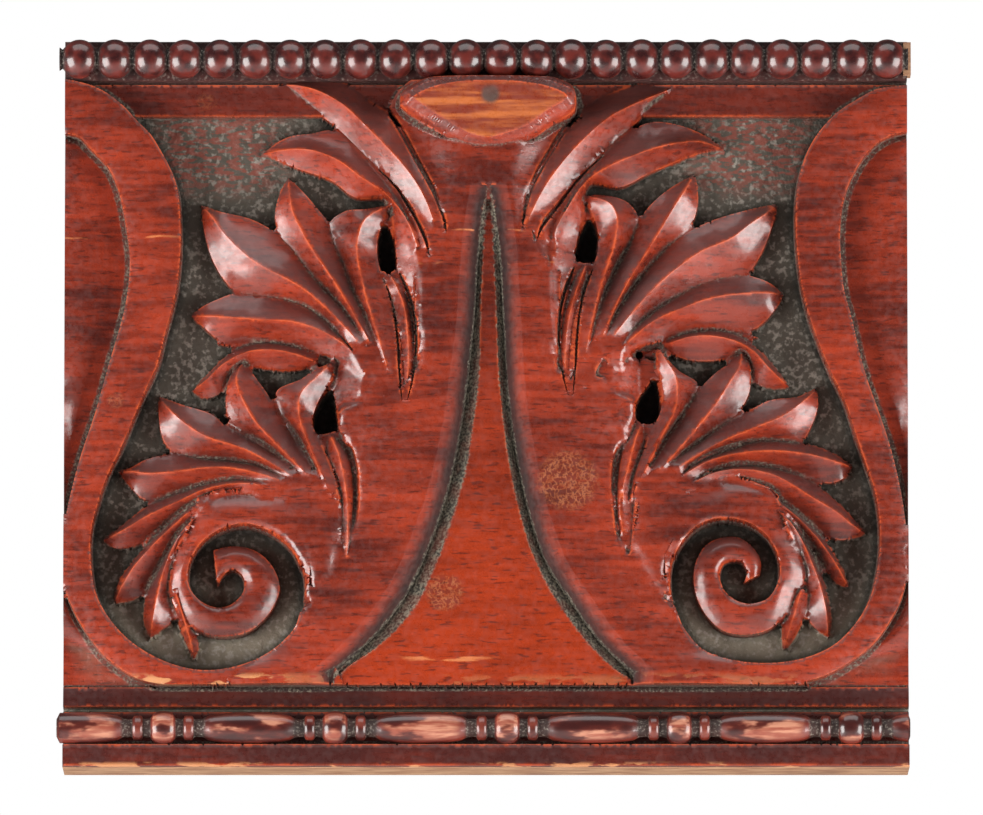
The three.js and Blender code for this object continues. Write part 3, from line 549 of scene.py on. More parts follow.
# Carved panel: stem and spire
# The stem flares at its head, swells, and rolls over on each side into a groove, between which
# stands a flat tapering spire. At its foot it spreads over the volutes. The lines fall from the
# head to the foot.
STEM_AXIS = 0.4
STEM_TOP = 88.3
APEX = 59.0
FLARE_FROM, FLARE_OVER = 52.0, 10.0  # the swell turns to a flare over this height
SWELL_CURVE, ROLL_CURVE = 1.8, 2.4
BED_FROM = 0.95  # the share of the roll from which dust lies in the groove
CENTRE_OF_HEAD = [(-99.0, 22.8), (APEX, 22.8), (68.0, 22.7), (78.0, 22.4), (88.0, 22.4)]
SHOULDER = [(-99.0, 23.0), (APEX, 23.0), (68.0, 22.8), (78.0, 22.3), (88.0, 22.0)]
SHOULDER_OUT = [(-78.0, 6.6), (0.0, 5.4), (APEX, 4.9), (74.0, 6.4), (88.0, 7.5)]
GROOVE_LEFT = [
    (0.5, 58.8, 22), (-1.1, 48.5, 19), (-3.2, 20.2, 16.5), (-13.5, -34.3, 16), (-22.2, -53.4, 16),
    (-30.8, -64.3, 16), (-40.8, -73.4, 16),
]
SPIRE_LEFT = [
    (0.3, 59.2, 19), (-1.4, 28.1, 18.5), (-2.2, 3.6, 18.5), (-3.5, -6, 18.5), (-5.4, -18.3, 18.5),
    (-7.6, -26.5, 18.5), (-9.7, -33.3, 18.5), (-11.9, -40.1, 18.5), (-14.3, -45.6, 18.5),
    (-18.4, -54.3, 18.5), (-30, -66.9, 18.5), (-36.8, -71.5, 18.5), (-40.8, -75.1, 18.5),
]
STEM_EDGE_LEFT = [
    (-19.5, 88.6, 20), (-22.6, 86.5, 18.5), (-24.8, 83.8, 17.5), (-25.7, 80.7, 17),
    (-23.2, 76, 17.5), (-20.5, 71, 18.5), (-15.1, 61.2, 20.5), (-11.4, 50.8, 22.2),
    (-12.4, 45.3, 22.5), (-15.1, 42, 22.5), (-17.6, 27.6, 22.5), (-18.6, 9.6, 22.4),
    (-23.8, 3.1, 21.8), (-33.5, -0.1, 21.2), (-39.5, -2.2, 20.5), (-39.7, -7, 20),
    (-37, -11.6, 19.5), (-35.9, -14.9, 20), (-34.9, -19.9, 20.5), (-35.1, -29.6, 21),
    (-36.5, -39.2, 21.5), (-38.4, -47.4, 21.5), (-44.3, -53.1, 21.2), (-49.2, -55.7, 20.8),
    (-51.4, -61.1, 20.5), (-56.2, -66.3, 20.2), (-62.2, -70.1, 20), (-66.5, -72.5, 20),
    (-70.5, -76.9, 20),
]
GROOVE_RIGHT = [
    (0.8, 59.6, 22), (2.7, 48.5, 19), (4.6, 20.2, 16.5), (5.7, 1.2, 16), (8.9, -19.3, 16),
    (12.2, -33, 16), (16.2, -43.9, 16), (22.4, -53.4, 16), (30, -64.3, 16), (38.9, -73.1, 16),
]
SPIRE_RIGHT = [
    (1.1, 60, 19), (2.7, 28.1, 18.5), (3.8, 3.6, 18.5), (8.6, -27.8, 18.5), (12.2, -40.1, 18.5),
    (23.2, -59.8, 18.5), (29.5, -67.4, 18.5), (35.4, -72.9, 18.5), (40.3, -75.6, 18.5),
]
STEM_EDGE_RIGHT = [
    (19.5, 89.2, 20), (22.2, 87.4, 18.5), (23.9, 84.4, 17.5), (24.3, 81.5, 17), (23.8, 79, 17),
    (21.4, 74.7, 17.5), (16.8, 67.4, 19), (12.7, 60.6, 20.5), (9.2, 50.8, 22.2),
    (10.3, 47.2, 22.5), (12.7, 44.5, 22.5), (16.8, 37.9, 22.5), (17.8, 22.1, 22.5),
    (19.5, 9.6, 22.3), (24.9, 4.7, 21.8), (34.1, 2.6, 21.2), (40, 0.5, 20.5), (40, -4.3, 20),
    (37.3, -9.1, 19.5), (36.2, -11.9, 20), (34.6, -16.4, 20.5), (34.3, -24.1, 21),
    (35.1, -32.4, 21.5), (37.6, -43.3, 21.5), (44.3, -50.9, 21.2), (49.7, -54.1, 20.8),
    (53.5, -61.7, 20.5), (59.2, -67.7, 20.2), (63.8, -69.3, 20), (68.6, -71.2, 20),
    (71.9, -76.9, 20),
]


def at_rows(line, axis):
    """A falling line's x (axis 0) or height (axis 2) at every row of the relief."""
    curve = smooth(line, 400)[::-1]
    return np.interp(zs, curve[:, 1], curve[:, axis])[:, None]


def by_row(steps):
    """A value that changes with z, at every row of the relief."""
    return np.interp(zs, *np.array(steps).T)[:, None]


across, up = xs[None, :], zs[:, None]
headward = np.clip((up - FLARE_FROM) / FLARE_OVER, 0, 1)
in_head = up > APEX
stem_ground = np.zeros(relief.shape, bool)
groove_bed = np.zeros(relief.shape, bool)
rolled = np.zeros(relief.shape)
for side, edge, groove, spire in (
    (-1, STEM_EDGE_LEFT, GROOVE_LEFT, SPIRE_LEFT), (1, STEM_EDGE_RIGHT, GROOVE_RIGHT, SPIRE_RIGHT)
):
    groove_x = np.where(in_head, STEM_AXIS, at_rows(groove, 0))
    groove_h = np.where(in_head, by_row(CENTRE_OF_HEAD), at_rows(groove, 2))
    spire_x = np.where(in_head, STEM_AXIS, at_rows(spire, 0))
    spire_x = side * np.minimum(side * spire_x, side * groove_x - 0.001)
    spire_h = np.where(in_head, by_row(CENTRE_OF_HEAD), at_rows(spire, 2))
    shoulder_x, shoulder_h = groove_x + side * by_row(SHOULDER_OUT), by_row(SHOULDER)
    edge_x, edge_h = at_rows(edge, 0), at_rows(edge, 2)
    swell = np.clip((across - edge_x) / (shoulder_x - edge_x), 0, 1)
    roll = np.clip((across - shoulder_x) / (groove_x - shoulder_x), 0, 1)
    rise = np.clip((across - groove_x) / (spire_x - groove_x), 0, 1)
    flared, swelled = swell * swell * (3 - 2 * swell), 1 - (1 - swell) ** SWELL_CURVE
    shape = flared * headward + swelled * (1 - headward)
    stem = edge_h + (shoulder_h - edge_h) * shape
    rolling = groove_h + (shoulder_h - groove_h) * (1 - roll**ROLL_CURVE)
    stem = np.where(roll > 0, rolling, stem)
    stem = np.where(rise > 0, groove_h + (spire_h - groove_h) * rise, stem)
    half = (side * (across - edge_x) <= 0) & (side * (across - STEM_AXIS) >= 0)
    on_stem = half & (up < STEM_TOP) & (up > CARVING_FOOT)
    relief = np.where(on_stem, np.maximum(relief, stem), relief)
    stem_ground |= on_stem
    body = on_stem & ~in_head
    rolled = np.where(body & (rise == 0), roll, rolled)
    groove_bed |= body & (((rise > 0) & (rise < 1)) | ((rise == 0) & (roll > BED_FROM)))
    for line in (edge, groove, spire):
        keep_arris(line)


# Carved panel: volutes
# From the foot of each cluster a broad scroll curls round and down to a tongue inside it. Its
# face is rounded, so its scoop is less than nothing. The lines run from the stem to the tongue.
VOLUTE_SCOOP = -1.5
VOLUTE_OUTER_LEFT = [
    (-40, -30.1, 21), (-45.4, -27.6, 20.5), (-53, -26.7, 20), (-60.5, -25.9, 20),
    (-74.1, -27.4, 19.5), (-78.4, -30.9, 19), (-83.8, -41.4, 18), (-84.6, -53.6, 17),
    (-76.5, -62.2, 16.5), (-64.3, -62, 16.5), (-57, -54.6, 16.5), (-55.7, -50.5, 16.5),
    (-57.3, -44.8, 16.5), (-61.6, -40.3, 16), (-68.1, -38.7, 16), (-73.5, -39.7, 15.5),
]
VOLUTE_INNER_LEFT = [
    (-49.2, -55.2, 21), (-49.2, -47.2, 20.5), (-51.9, -40.6, 20), (-64.9, -33, 20),
    (-75.4, -36.4, 19), (-81.1, -45.5, 18), (-80.8, -48.8, 18), (-76.2, -54.4, 17),
    (-72.4, -55.5, 17), (-68.9, -54.7, 17), (-65, -49.2, 17), (-65.7, -46.7, 17),
    (-68.4, -45.1, 17), (-70.8, -46.4, 16.5), (-72.4, -49.1, 16),
]
VOLUTE_OUTER_RIGHT = [
    (41.6, -29, 21), (48.4, -25.9, 20.5), (61.9, -23.4, 20), (68.1, -23.1, 20),
    (73.2, -24.4, 19.5), (83.8, -36.5, 18), (85.1, -41.6, 17.5), (85.7, -48.1, 17),
    (83.5, -53.5, 16.5), (75.4, -61.7, 16.5), (64.1, -61.7, 16.5), (57, -53, 16.5),
    (56.8, -42.6, 16.5), (59.7, -38.1, 16), (68.6, -36.5, 16), (74.1, -43, 15.7),
    (73.8, -46.3, 15.5),
]
VOLUTE_INNER_RIGHT = [
    (51.4, -58.2, 21), (50, -42.2, 20), (53.5, -35.7, 20), (58.6, -32.1, 20), (70.8, -31.8, 19.5),
    (78.9, -38.8, 18.5), (80.5, -43.3, 18), (78.6, -51.5, 17.5), (71.4, -54.7, 17),
    (67.3, -53.6, 17), (64.3, -50.8, 17), (63, -47.3, 17), (64.1, -43.5, 17), (68.9, -42.9, 17),
    (70.3, -45, 16.5), (69.7, -48.5, 16),
]
loft([VOLUTE_OUTER_LEFT, VOLUTE_INNER_LEFT], VOLUTE_SCOOP)
loft([VOLUTE_OUTER_RIGHT, VOLUTE_INNER_RIGHT], VOLUTE_SCOOP)


# Carved panel: bands and outer fields
# A long S-shaped band frames the leaves on each side and turns in under the volute. Beyond it
# the outer field lies hollow beside the band and rises to the end of the board. The lines fall
# from the top of the board.
BAND_SCOOP, FIELD_SCOOP = -0.3, 0.5
FIELD_UNDER_BAND = 0.2
FIELD_FOOT, FIELD_END, FIELD_END_LOW, LOW_FROM = 13.5, 17.0, 13.5, -60


def level(height, outline):
    """The points of an outline, all at one height."""
    return [(x, z, height) for x, z in outline]


BAND_OUTER_LEFT = level(19, [
    (-113.8, 73.6), (-110, 72.6), (-107.6, 70.1), (-101.6, 63.3), (-99.9, 59.5), (-97.4, 48.8),
    (-96.2, 38.4), (-97, 29.4), (-101.9, 10.3), (-105.7, -3.3), (-109.7, -15.6), (-113, -29.3),
    (-114.9, -42.9), (-111.1, -56.6), (-107.6, -62.6), (-103.2, -68.3), (-98.9, -71.9),
    (-93.5, -75.1), (-86.8, -76.5), (-69.2, -76.8), (-38.1, -76.8),
])
BAND_INNER_LEFT = level(20, [
    (-114.6, 88.5), (-104.3, 85.5), (-98.4, 81.2), (-94.3, 76.8), (-90.8, 73.2), (-88.1, 68.9),
    (-83.8, 59.3), (-82.7, 48.7), (-84.3, 27.9), (-86.5, 19.7), (-88.9, 10.2), (-92.2, 2.8),
    (-99.5, -14.4), (-102.2, -19.9), (-104.9, -28), (-106.5, -34.9), (-106.5, -44.4),
    (-105.1, -52.1), (-97.6, -63.3), (-75.9, -72.8), (-56.2, -66.3), (-51.4, -61.1),
    (-49.2, -55.1),
])
BAND_OUTER_RIGHT = level(19, [
    (115.1, 74.2), (110.5, 73.4), (106.5, 71.5), (103.8, 69), (98.9, 61.4), (97, 56.2),
    (95.9, 49.9), (95.9, 39.5), (96.8, 30.8), (98.6, 24), (101.1, 13), (103.2, 5.7), (105.9, -2),
    (108.6, -10.2), (112.7, -29.3), (113.5, -38.8), (113.2, -48.4), (111.4, -54.7),
    (108.6, -59.9), (104.3, -65.6), (98.4, -70.2), (91.6, -74), (84.9, -76), (76.8, -77),
    (41.6, -77),
])
BAND_INNER_RIGHT = level(20, [
    (115.1, 86.9), (110.5, 86.3), (106.5, 85.8), (100.5, 82.8), (95.1, 79.2), (90.3, 74.1),
    (84.9, 34.7), (93, 8.8), (97.3, -0.5), (99.7, -8.1), (102.4, -16.3), (104.9, -24),
    (105.4, -46.3), (103.2, -54), (95.1, -64.9), (68.6, -70.4), (59.2, -67.6), (53.2, -61.6),
    (50, -54),
])
for side, outer, inner in (
    (-1, BAND_OUTER_LEFT, BAND_INNER_LEFT), (1, BAND_OUTER_RIGHT, BAND_INNER_RIGHT)
):
    beside = [(x, z) for x, z, h in outer if z > CARVING_FOOT]
    field_foot = [(x - side * FIELD_UNDER_BAND, z, FIELD_FOOT) for x, z in beside]
    board_end = [
        (side * (HALF_LENGTH + 1), z, FIELD_END_LOW if z < LOW_FROM else FIELD_END)
        for x, z in beside
    ]
    loft([field_foot, board_end], FIELD_SCOOP)
    loft([outer, inner], BAND_SCOOP)


# Carved panel: joins
# Where leaves, stem and volute run together the wood was left plain, and smoothed between them.
# Each outline here was read on the left and serves both sides. An outline point is (x, z).
RIGHT_SIDE_UP = 1.9  # the right half of the carving stands this much higher
FORM = 16.5  # wood above this belongs to a form, below it to a gap
WEB_MARGIN, WEB_SPREAD, WEB_SEAM, WEB_SEAM_SPREAD = 60, 12, 4, 3  # in cells
FAINT = 0.02


def inside(outline, rounded=False):
    """The rows and columns of the relief that a closed outline holds, as a mask."""
    p = smooth([(x, z, 0) for x, z in outline], 90) if rounded else np.array(outline, float)
    x, z = np.meshgrid(xs, zs)
    near = (x > p[:, 0].min()) & (x < p[:, 0].max()) & (z > p[:, 1].min()) & (z < p[:, 1].max())
    held = np.zeros_like(near)
    px, pz = x[near], z[near]
    odd = np.zeros(len(px), bool)
    for (x0, z0, *_), (x1, z1, *_) in zip(p, np.roll(p, -1, 0)):
        crosses = (z0 > pz) != (z1 > pz)
        span = z1 - z0 if z1 != z0 else 1e-9
        odd ^= crosses & (px < x0 + (pz - z0) * (x1 - x0) / span)
    held[near] = odd
    return held


def soften(field, sigma):
    """The field blurred by a bell of sigma cells."""
    span = int(math.ceil(2.5 * sigma))
    bell = np.exp(-0.5 * (np.arange(-span, span + 1) / sigma) ** 2)
    bell /= bell.sum()
    for _ in (0, 1):
        padded = np.pad(field, [(span, span), (0, 0)], mode="edge")
        blurred = np.zeros(field.shape)
        for i, weight in enumerate(bell):
            blurred += weight * padded[i : i + len(field)]
        field = blurred.T
    return field


def web(outline):
    """Fills what lies low inside the outline to run smoothly between the forms round it."""
    held = inside(outline)
    high = relief > FORM
    low = held & ~high
    rows_held, columns_held = np.nonzero(held)
    part = (slice(max(rows_held.min() - WEB_MARGIN, 0), rows_held.max() + WEB_MARGIN),
            slice(max(columns_held.min() - WEB_MARGIN, 0), columns_held.max() + WEB_MARGIN))
    weight = soften(high[part].astype(float), WEB_SPREAD) + 1e-6
    fill = soften(np.where(high[part], relief[part], 0.0), WEB_SPREAD) / weight
    patch = relief[part]
    patch[low[part]] = fill[low[part]]
    seam = held[part] & (soften(low[part].astype(float), WEB_SEAM) > FAINT)
    patch[seam] = soften(patch, WEB_SEAM_SPREAD)[seam]


def mirrored(outline):
    """The same outline on the right, where the carving stands a little higher."""
    return [(2 * STEM_AXIS - x, z + RIGHT_SIDE_UP, *height) for x, z, *height in outline]


CHEEK = [
    [(-40.6, 10.8, 15.5), (-41.2, 4, 15), (-40.9, -3, 15.5), (-40, -8.5, 16.5)],
    [(-38.4, 11.5, 17.5), (-34.6, 4, 20.3), (-34.4, -5, 21), (-36.4, -12.8, 20)],
]
CHEEK_SCOOP = -0.3
loft(CHEEK, CHEEK_SCOOP)
loft([mirrored(line) for line in CHEEK], CHEEK_SCOOP)

WEBS = [
    [(-35, 20), (-30, 21), (-25.4, 12.5), (-23.2, 10), (-21, 0.5), (-18.3, 11), (-14.5, 10),
     (-14.5, -3), (-34.5, -8.5), (-34.7, 3), (-36.5, 8.5), (-37.4, 10.5)],
    [(-61, -19.5), (-54, -18), (-50, -17), (-44, -18.5), (-39, -25), (-37.6, -43), (-36, -37),
     (-33, -52), (-40, -58), (-48.4, -54.3), (-48.2, -47.5), (-51.2, -40), (-58, -31),
     (-61, -26), (-67, -24)],
]
for outline in WEBS:
    web(outline)
    web(mirrored(outline))

# Between forms that stand close together the wood was never cut down to the ground. Each has
# the height that it was left at.
LEFT_STANDING = [
    (15.5, [(-26.6, 55.5), (-30.5, 51), (-31.5, 42), (-29.5, 33), (-24, 33), (-20.5, 36),
            (-22, 45), (-24.5, 52)]),
    (17.8, [(-29.5, 36), (-27, 20), (-24, 8), (-21.5, -1.5), (-17.2, 6), (-16.2, 24), (-18, 33),
            (-23, 37)]),
    (21.0, [(-19.4, 34), (-19.2, 24), (-18.0, 14), (-19.0, 5), (-20.6, -1), (-17, 0), (-16, 24),
            (-17, 34)]),
    (22.2, [(-14.6, 48), (-11.6, 50), (-11.5, 46), (-14.5, 41.5), (-16.4, 41)]),
    (14.3, [(-73, 16.5), (-67, 18.6), (-55, 18.2), (-46, 14.5), (-42, 12), (-46, 10.5),
            (-52, 13), (-64, 15.5)]),
    (15.5, [(-41.5, 11.5), (-46, 9), (-49, 0), (-48, -10), (-43, -12), (-38, -12), (-39.5, -4),
            (-40, 4)]),
    (17.3, [(-45.5, -7), (-40, -6.5), (-36.5, -14), (-34.6, -22), (-36.5, -45), (-39.5, -45),
            (-42, -28), (-44.5, -14)]),
    (19.2, [(-78, -27), (-76, -25), (-66, -21.5), (-56, -20), (-52, -26), (-58, -28),
            (-68, -28), (-75, -30), (-80, -33)]),
    (14.3, [(-91, -32.5), (-84, -29), (-77, -25.5), (-79, -29.5), (-85, -33.5), (-92, -38.5)]),
    (15.0, [(-85.5, -57), (-85.5, -45), (-82, -35), (-79.5, -37), (-83, -46), (-83.5, -55)]),
    (20.6, [(-27.2, 11.5), (-33.4, 12.5), (-34.4, 4), (-28.2, 2.5)]),
    (13.0, [(-114.5, -80), (-114.5, -74.5), (-100, -75), (-86, -77.3), (-86, -80)]),
]
RIGHT_STANDING = [  # on the right alone
    (20.8, [(35.6, -33.5), (39.2, -33.5), (39.4, -40), (36, -40)]),
    (17.0, [(19.2, 9), (20.4, 9), (22.4, 26), (19, 26)]),
]
standing = [(h, side) for h, outline in LEFT_STANDING for side in (outline, mirrored(outline))]
for height, outline in standing + RIGHT_STANDING:
    held = inside(outline)
    relief[held] = np.maximum(relief[held], height)

# Where one form runs out on another the join was rubbed smooth: (how far in cells, outline).
RUBBED_SMOOTH = [
    (4, [(-41, 13), (-33, 14), (-32, -8), (-38, -11), (-41, -3)]),
    (4, [(-19.3, 42), (-15.2, 42), (-15.8, 20), (-16.5, -3), (-21.5, -3), (-19.8, 9), (-19, 25)]),
    (4, [(-38, -8.5), (-33.8, -10), (-33, -25), (-34.8, -44), (-38.6, -47), (-36.6, -38),
         (-36, -25), (-36.6, -16)]),
    (4, [(-80, -29.5), (-76, -25.4), (-68, -23.8), (-60, -23.2), (-54, -25), (-62, -28),
         (-70, -29), (-77, -32)]),
    (4, [(-11.4, 46), (-12.6, 50), (-17.6, 46.5), (-18, 38), (-14, 37.5), (-12, 42)]),
    (3, [(-47.5, -38), (-51.4, -38.6), (-49.6, -43), (-49.2, -50), (-50.2, -57), (-46, -57)]),
    (9, [(-54, -26.5), (-41, -25), (-37.5, -46), (-43, -52), (-47.6, -50), (-47.4, -44),
         (-50.4, -38), (-56, -32)]),
]
LOWEST_RUBBED = 14
rubbed_smooth = np.zeros(relief.shape, bool)
for cells_wide, outline in RUBBED_SMOOTH:
    for held in (inside(outline), inside(mirrored(outline))):
        held &= relief > LOWEST_RUBBED
        relief[held] = soften(relief, cells_wide)[held]
        rubbed_smooth |= held


# Carved panel: eyes and worn head
# A pointed eye is sunk deep in each cluster. The head of the stem is cut, or worn, to a slanting
# boat-shaped face under the beads, with a flank that falls away round it.
EYE_FLOOR = 9.5
EYES = [
    [
        (-27.6, 49.8), (-28.9, 46.8), (-29.5, 43.3), (-29.2, 39.7), (-28.4, 36.7), (-26.2, 35.6),
        (-24.6, 36.7), (-24.3, 40.8), (-24.9, 44.6), (-25.9, 47.6),
    ],
    [
        (-41.6, 4.8), (-43.8, 2.6), (-45.7, -0.4), (-46.8, -4), (-46.5, -7), (-44.6, -8.3),
        (-42.2, -8), (-40.3, -7.2), (-40.3, -2.3), (-40.8, 1.5),
    ],
    [
        (27.8, 51.2), (25.9, 47.9), (24.6, 44.1), (24.1, 40.5), (25.4, 38.6), (27.6, 38.4),
        (29.2, 39.2), (30, 42.5), (30.3, 46.6), (29.2, 49.6),
    ],
    [
        (45.4, 8.1), (43.8, 5.3), (41.6, 2.3), (40.3, -1.2), (40.5, -4.2), (43, -5.6),
        (45.1, -5.3), (46.8, -2.9), (47, 1.5), (46.5, 5.3),
    ],
]
WORN_FACE = [
    (-20, 82.2), (-15.1, 84.6), (-9.7, 85.9), (0.5, 86.6), (10.5, 86.1), (17.3, 84.8),
    (21.9, 82.5), (15.9, 78.3), (11.4, 75.1), (5.1, 72.7), (0.5, 71.7), (-4.3, 72.7),
    (-9.7, 75.6), (-15.1, 78.8),
]
WORN_SLOPE = [(72.0, 25.3), (88.0, 30.0)]  # z, height
FLANK_CELLS, FLANK_DROP = 26, 0.16


def shifted(field, down, right):
    """The field moved by a cell or none, with its border repeated."""
    padded = np.pad(field, 1, mode="edge")
    rows, columns = field.shape
    return padded[1 - down : 1 - down + rows, 1 - right : 1 - right + columns]


BESIDE = ((0, 1), (0, -1), (1, 0), (-1, 0))
AT_CORNERS = ((1, 1), (1, -1), (-1, 1), (-1, -1))


def sloped(field, steps, drop):
    """The field with a slope falling away from its high places, by drop for each cell."""
    for step in range(steps):
        spread = field
        for down, right in BESIDE + AT_CORNERS if step % 2 else BESIDE:
            spread = np.maximum(spread, shifted(field, down, right) - drop)
        field = spread
    return field


for eye in EYES:
    relief[inside(eye, rounded=True)] = EYE_FLOOR
worn = inside(WORN_FACE, rounded=True)
(low_z, low_h), (high_z, high_h) = WORN_SLOPE
worn_face = low_h + (up - low_z) * (high_h - low_h) / (high_z - low_z) + 0 * across
flank = sloped(np.where(worn, worn_face, 0.0), FLANK_CELLS, FLANK_DROP)
relief[stem_ground] = np.maximum(relief, flank)[stem_ground]
relief[worn] = np.maximum(relief, worn_face)[worn]


# Carved panel: gouged lines
# A narrow gouge cut the lines that part the top leaves from the head and from each other, and
# those beside the ridges under the upper eyes. A point is (x, z, depth of the cut).
GOUGED = [
    [(-25.9, 79.4, 2.4), (-23.2, 75.1, 2.8), (-21.4, 71.6, 2.8), (-17.6, 64.2, 2.6),
     (-13.6, 56.4, 2.3), (-11.1, 48.7, 1.4), (-10.7, 45.6, 0.1)],
    [(24.9, 79, 2.4), (21.1, 74.9, 2.8), (17.3, 68.6, 2.8), (14.2, 63.1, 2.6), (11.5, 56.6, 2.2),
     (10.2, 49.9, 1.3), (9.6, 46.4, 0.1)],
    [(-29, 63.9, 0.6), (-24.4, 59.2, 1.2), (-21.4, 54.5, 1.6), (-18.2, 48.7, 1.8),
     (-15.9, 42.8, 1.5), (-15.3, 39.2, 0.1)],
    [(31.5, 67.7, 0.6), (25, 61.2, 1.2), (20, 54.5, 1.6), (15.4, 48.3, 1.8), (13.6, 43.6, 0.1)],
]
BESIDE_THE_RIDGE = [
    [(-28, 34.5, 0.6), (-26, 29.3, 1.2), (-24, 18.2, 1.4), (-23.4, 8.3, 1.3), (-22.6, -0.5, 0.2)],
    [(-23.2, 35.5, 0.8), (-21.4, 31.2, 1.5), (-19.4, 24.2, 1.6), (-18.8, 14.2, 1.5),
     (-19.8, 6.3, 1.2), (-21.4, -0.5, 0.2)],
]
GOUGE_CELLS, GOUGE_DROP = 7, 0.42


def cells(x, z):
    """The row and column of the relief nearest to each point."""
    column = np.clip(np.rint((x + HALF_LENGTH) / CELL).astype(int), 0, len(xs) - 1)
    row = np.clip(np.rint((z + HALF_HEIGHT) / CELL).astype(int), 0, len(zs) - 1)
    return row, column


cut = np.zeros(relief.shape)
for line in GOUGED + BESIDE_THE_RIDGE + [mirrored(line) for line in BESIDE_THE_RIDGE]:
    curve = smooth(line, int(reach(line) / CELL * 2))
    at = cells(curve[:, 0], curve[:, 1])
    cut[at] = np.maximum(cut[at], curve[:, 2])
    arrises.append(curve[::6] * (1, 1, 0))
relief -= sloped(cut, GOUGE_CELLS, GOUGE_DROP)


# Carved panel: tool work
# The walls were cut down with a little draft, no slot was left too narrow for the gouge, and it
# left shallow waves over everything.
WALL_STEPS, WALL_DROP = 4, 1.7
SLOT_CELLS, SLOT_DEPTH, SLOT_LEFT = 7, 1.6, 0.3
MENDED_ABOVE, MENDED_OUT_TO, MENDED_SPREAD = 14, 90, 2
FOOT_ROW, FOOT_FORM, FOOT_OUT_TO = -75.4, 15, 87
CARVING_REACH = 76
GROUND_TOP = 11.6
FORM_WAVES, GROUND_WAVES = [(5.0, 0.06), (2.2, 0.03)], (1.4, 0.12)  # spacing, height


def grown(field, steps, best):
    """The field with every high (np.maximum) or low (np.minimum) place grown by so many cells."""
    for step in range(steps):
        spread = field
        for down, right in BESIDE if step % 2 else AT_CORNERS + BESIDE:
            spread = best(spread, shifted(field, down, right))
        field = spread
    return field


closed = grown(grown(relief, SLOT_CELLS, np.maximum), SLOT_CELLS, np.minimum)
slots = (closed - relief > SLOT_DEPTH) & (np.abs(up) < CARVING_REACH)
relief[slots] = closed[slots] - SLOT_LEFT
near_slots = soften(slots.astype(float), MENDED_SPREAD) > FAINT
mended = near_slots & (relief > MENDED_ABOVE) & (np.abs(across) < MENDED_OUT_TO)
relief[mended] = soften(relief, MENDED_SPREAD)[mended]
for _ in range(WALL_STEPS):
    for down, right in BESIDE:
        relief = np.maximum(relief, shifted(relief, down, right) - WALL_DROP)

rng = np.random.default_rng(7)


def waves(spacing, height):
    """Smooth random waves over the whole relief."""
    grid = (int(2 * HALF_HEIGHT / spacing) + 4, int(2 * HALF_LENGTH / spacing) + 4)
    coarse = rng.standard_normal(grid)
    u = np.linspace(1, grid[1] - 2.001, len(xs))
    v = np.linspace(1, grid[0] - 2.001, len(zs))
    i, j = v.astype(int), u.astype(int)
    s, t = (v - i)[:, None], (u - j)[None, :]
    s, t = s * s * (3 - 2 * s), t * t * (3 - 2 * t)
    top = coarse[i][:, j] * (1 - t) + coarse[i][:, j + 1] * t
    bottom = coarse[i + 1][:, j] * (1 - t) + coarse[i + 1][:, j + 1] * t
    return height * (top * (1 - s) + bottom * s)


foot = relief[int((FOOT_ROW + HALF_HEIGHT) / CELL)]
under_foot = (zs > CARVING_FOOT) & (zs < FOOT_ROW)
carried = (foot > FOOT_FORM) & (np.abs(xs) < FOOT_OUT_TO)
relief[under_foot] = np.where(carried, foot, relief[under_foot])
below = zs < CARVING_FOOT
relief[below] = np.interp(zs[below], section_z, section_h)[:, None]
ground = relief < GROUND_TOP
as_drawn = relief.copy()
relief += waves(*FORM_WAVES[0]) + waves(*FORM_WAVES[1]) + np.where(ground, waves(*GROUND_WAVES), 0)


# Carved panel: mesh
# The relief becomes one closed skin: close points along every crest, arris, valley and foot,
# wider ones between, joined in triangles, with plain sawn ends, edges and back.
FINE, COARSE, BENT = 0.84, 1.25, 0.03  # between open points, finer where the surface bends
EDGE_SPACING, DRAWN_SPACING = 0.42, 0.26
CHANGE_SPREAD = 2.5  # in cells: a crest or a foot stands out from the relief blurred by this
ROW_STRIDE = 100000  # tells squares of different rows apart
DRAWN_SEEN, LEAST_EDGE = 0.3, 0.05
OPEN_FROM, OPEN_TO, SHAKE = 0.6, 0.5, 0.08  # how far in the open points lie, and their jitter
EDGE_RUBBED, SHARP, BARELY_SHARP, SHARP_RANGE, CREST_SHARE = 0.9, 0.5, 0.03, 0.14, 0.85
RIM_CELLS, RIM_STEP = 7, 0.3
BACK_ROWS, BACK_SPACING = 3, 6.0
BACK_REACH_X, BACK_REACH_Z = 108, 93


def strongest(strength):
    """The places where strength peaks across a line, at most one to each square."""
    peak = (strength >= shifted(strength, 0, 1)) & (strength > shifted(strength, 0, -1))
    peak |= (strength >= shifted(strength, 1, 0)) & (strength > shifted(strength, -1, 0))
    row, column = np.nonzero(peak & (strength > LEAST_EDGE))
    square = (zs[row] // EDGE_SPACING).astype(int) * ROW_STRIDE
    square += (xs[column] // EDGE_SPACING).astype(int)
    order = np.lexsort((-strength[row, column], square))
    _, first = np.unique(square[order], return_index=True)
    chosen = order[first]
    return row[chosen], column[chosen]


def with_beside(field, best):
    """The highest or lowest of each cell and the four beside it."""
    result = field
    for down, right in BESIDE:
        result = best(result, shifted(field, down, right))
    return result


def lattice(spacing, wanted):
    """The cells of a triangular lattice, a little shaken, where wanted holds."""
    points = []
    row_gap = spacing * math.sqrt(3) / 2
    for k, z in enumerate(np.arange(-HALF_HEIGHT + OPEN_FROM, HALF_HEIGHT - OPEN_TO, row_gap)):
        start = -HALF_LENGTH + OPEN_FROM + (k % 2) * spacing / 2
        x = np.arange(start, HALF_LENGTH - OPEN_TO, spacing)
        points.append(np.stack([x, np.full(len(x), z)], 1))
    points = np.concatenate(points)
    points += rng.uniform(-SHAKE, SHAKE, points.shape)
    row, column = cells(points[:, 0], points[:, 1])
    on = wanted[row, column]
    return row[on], column[on]


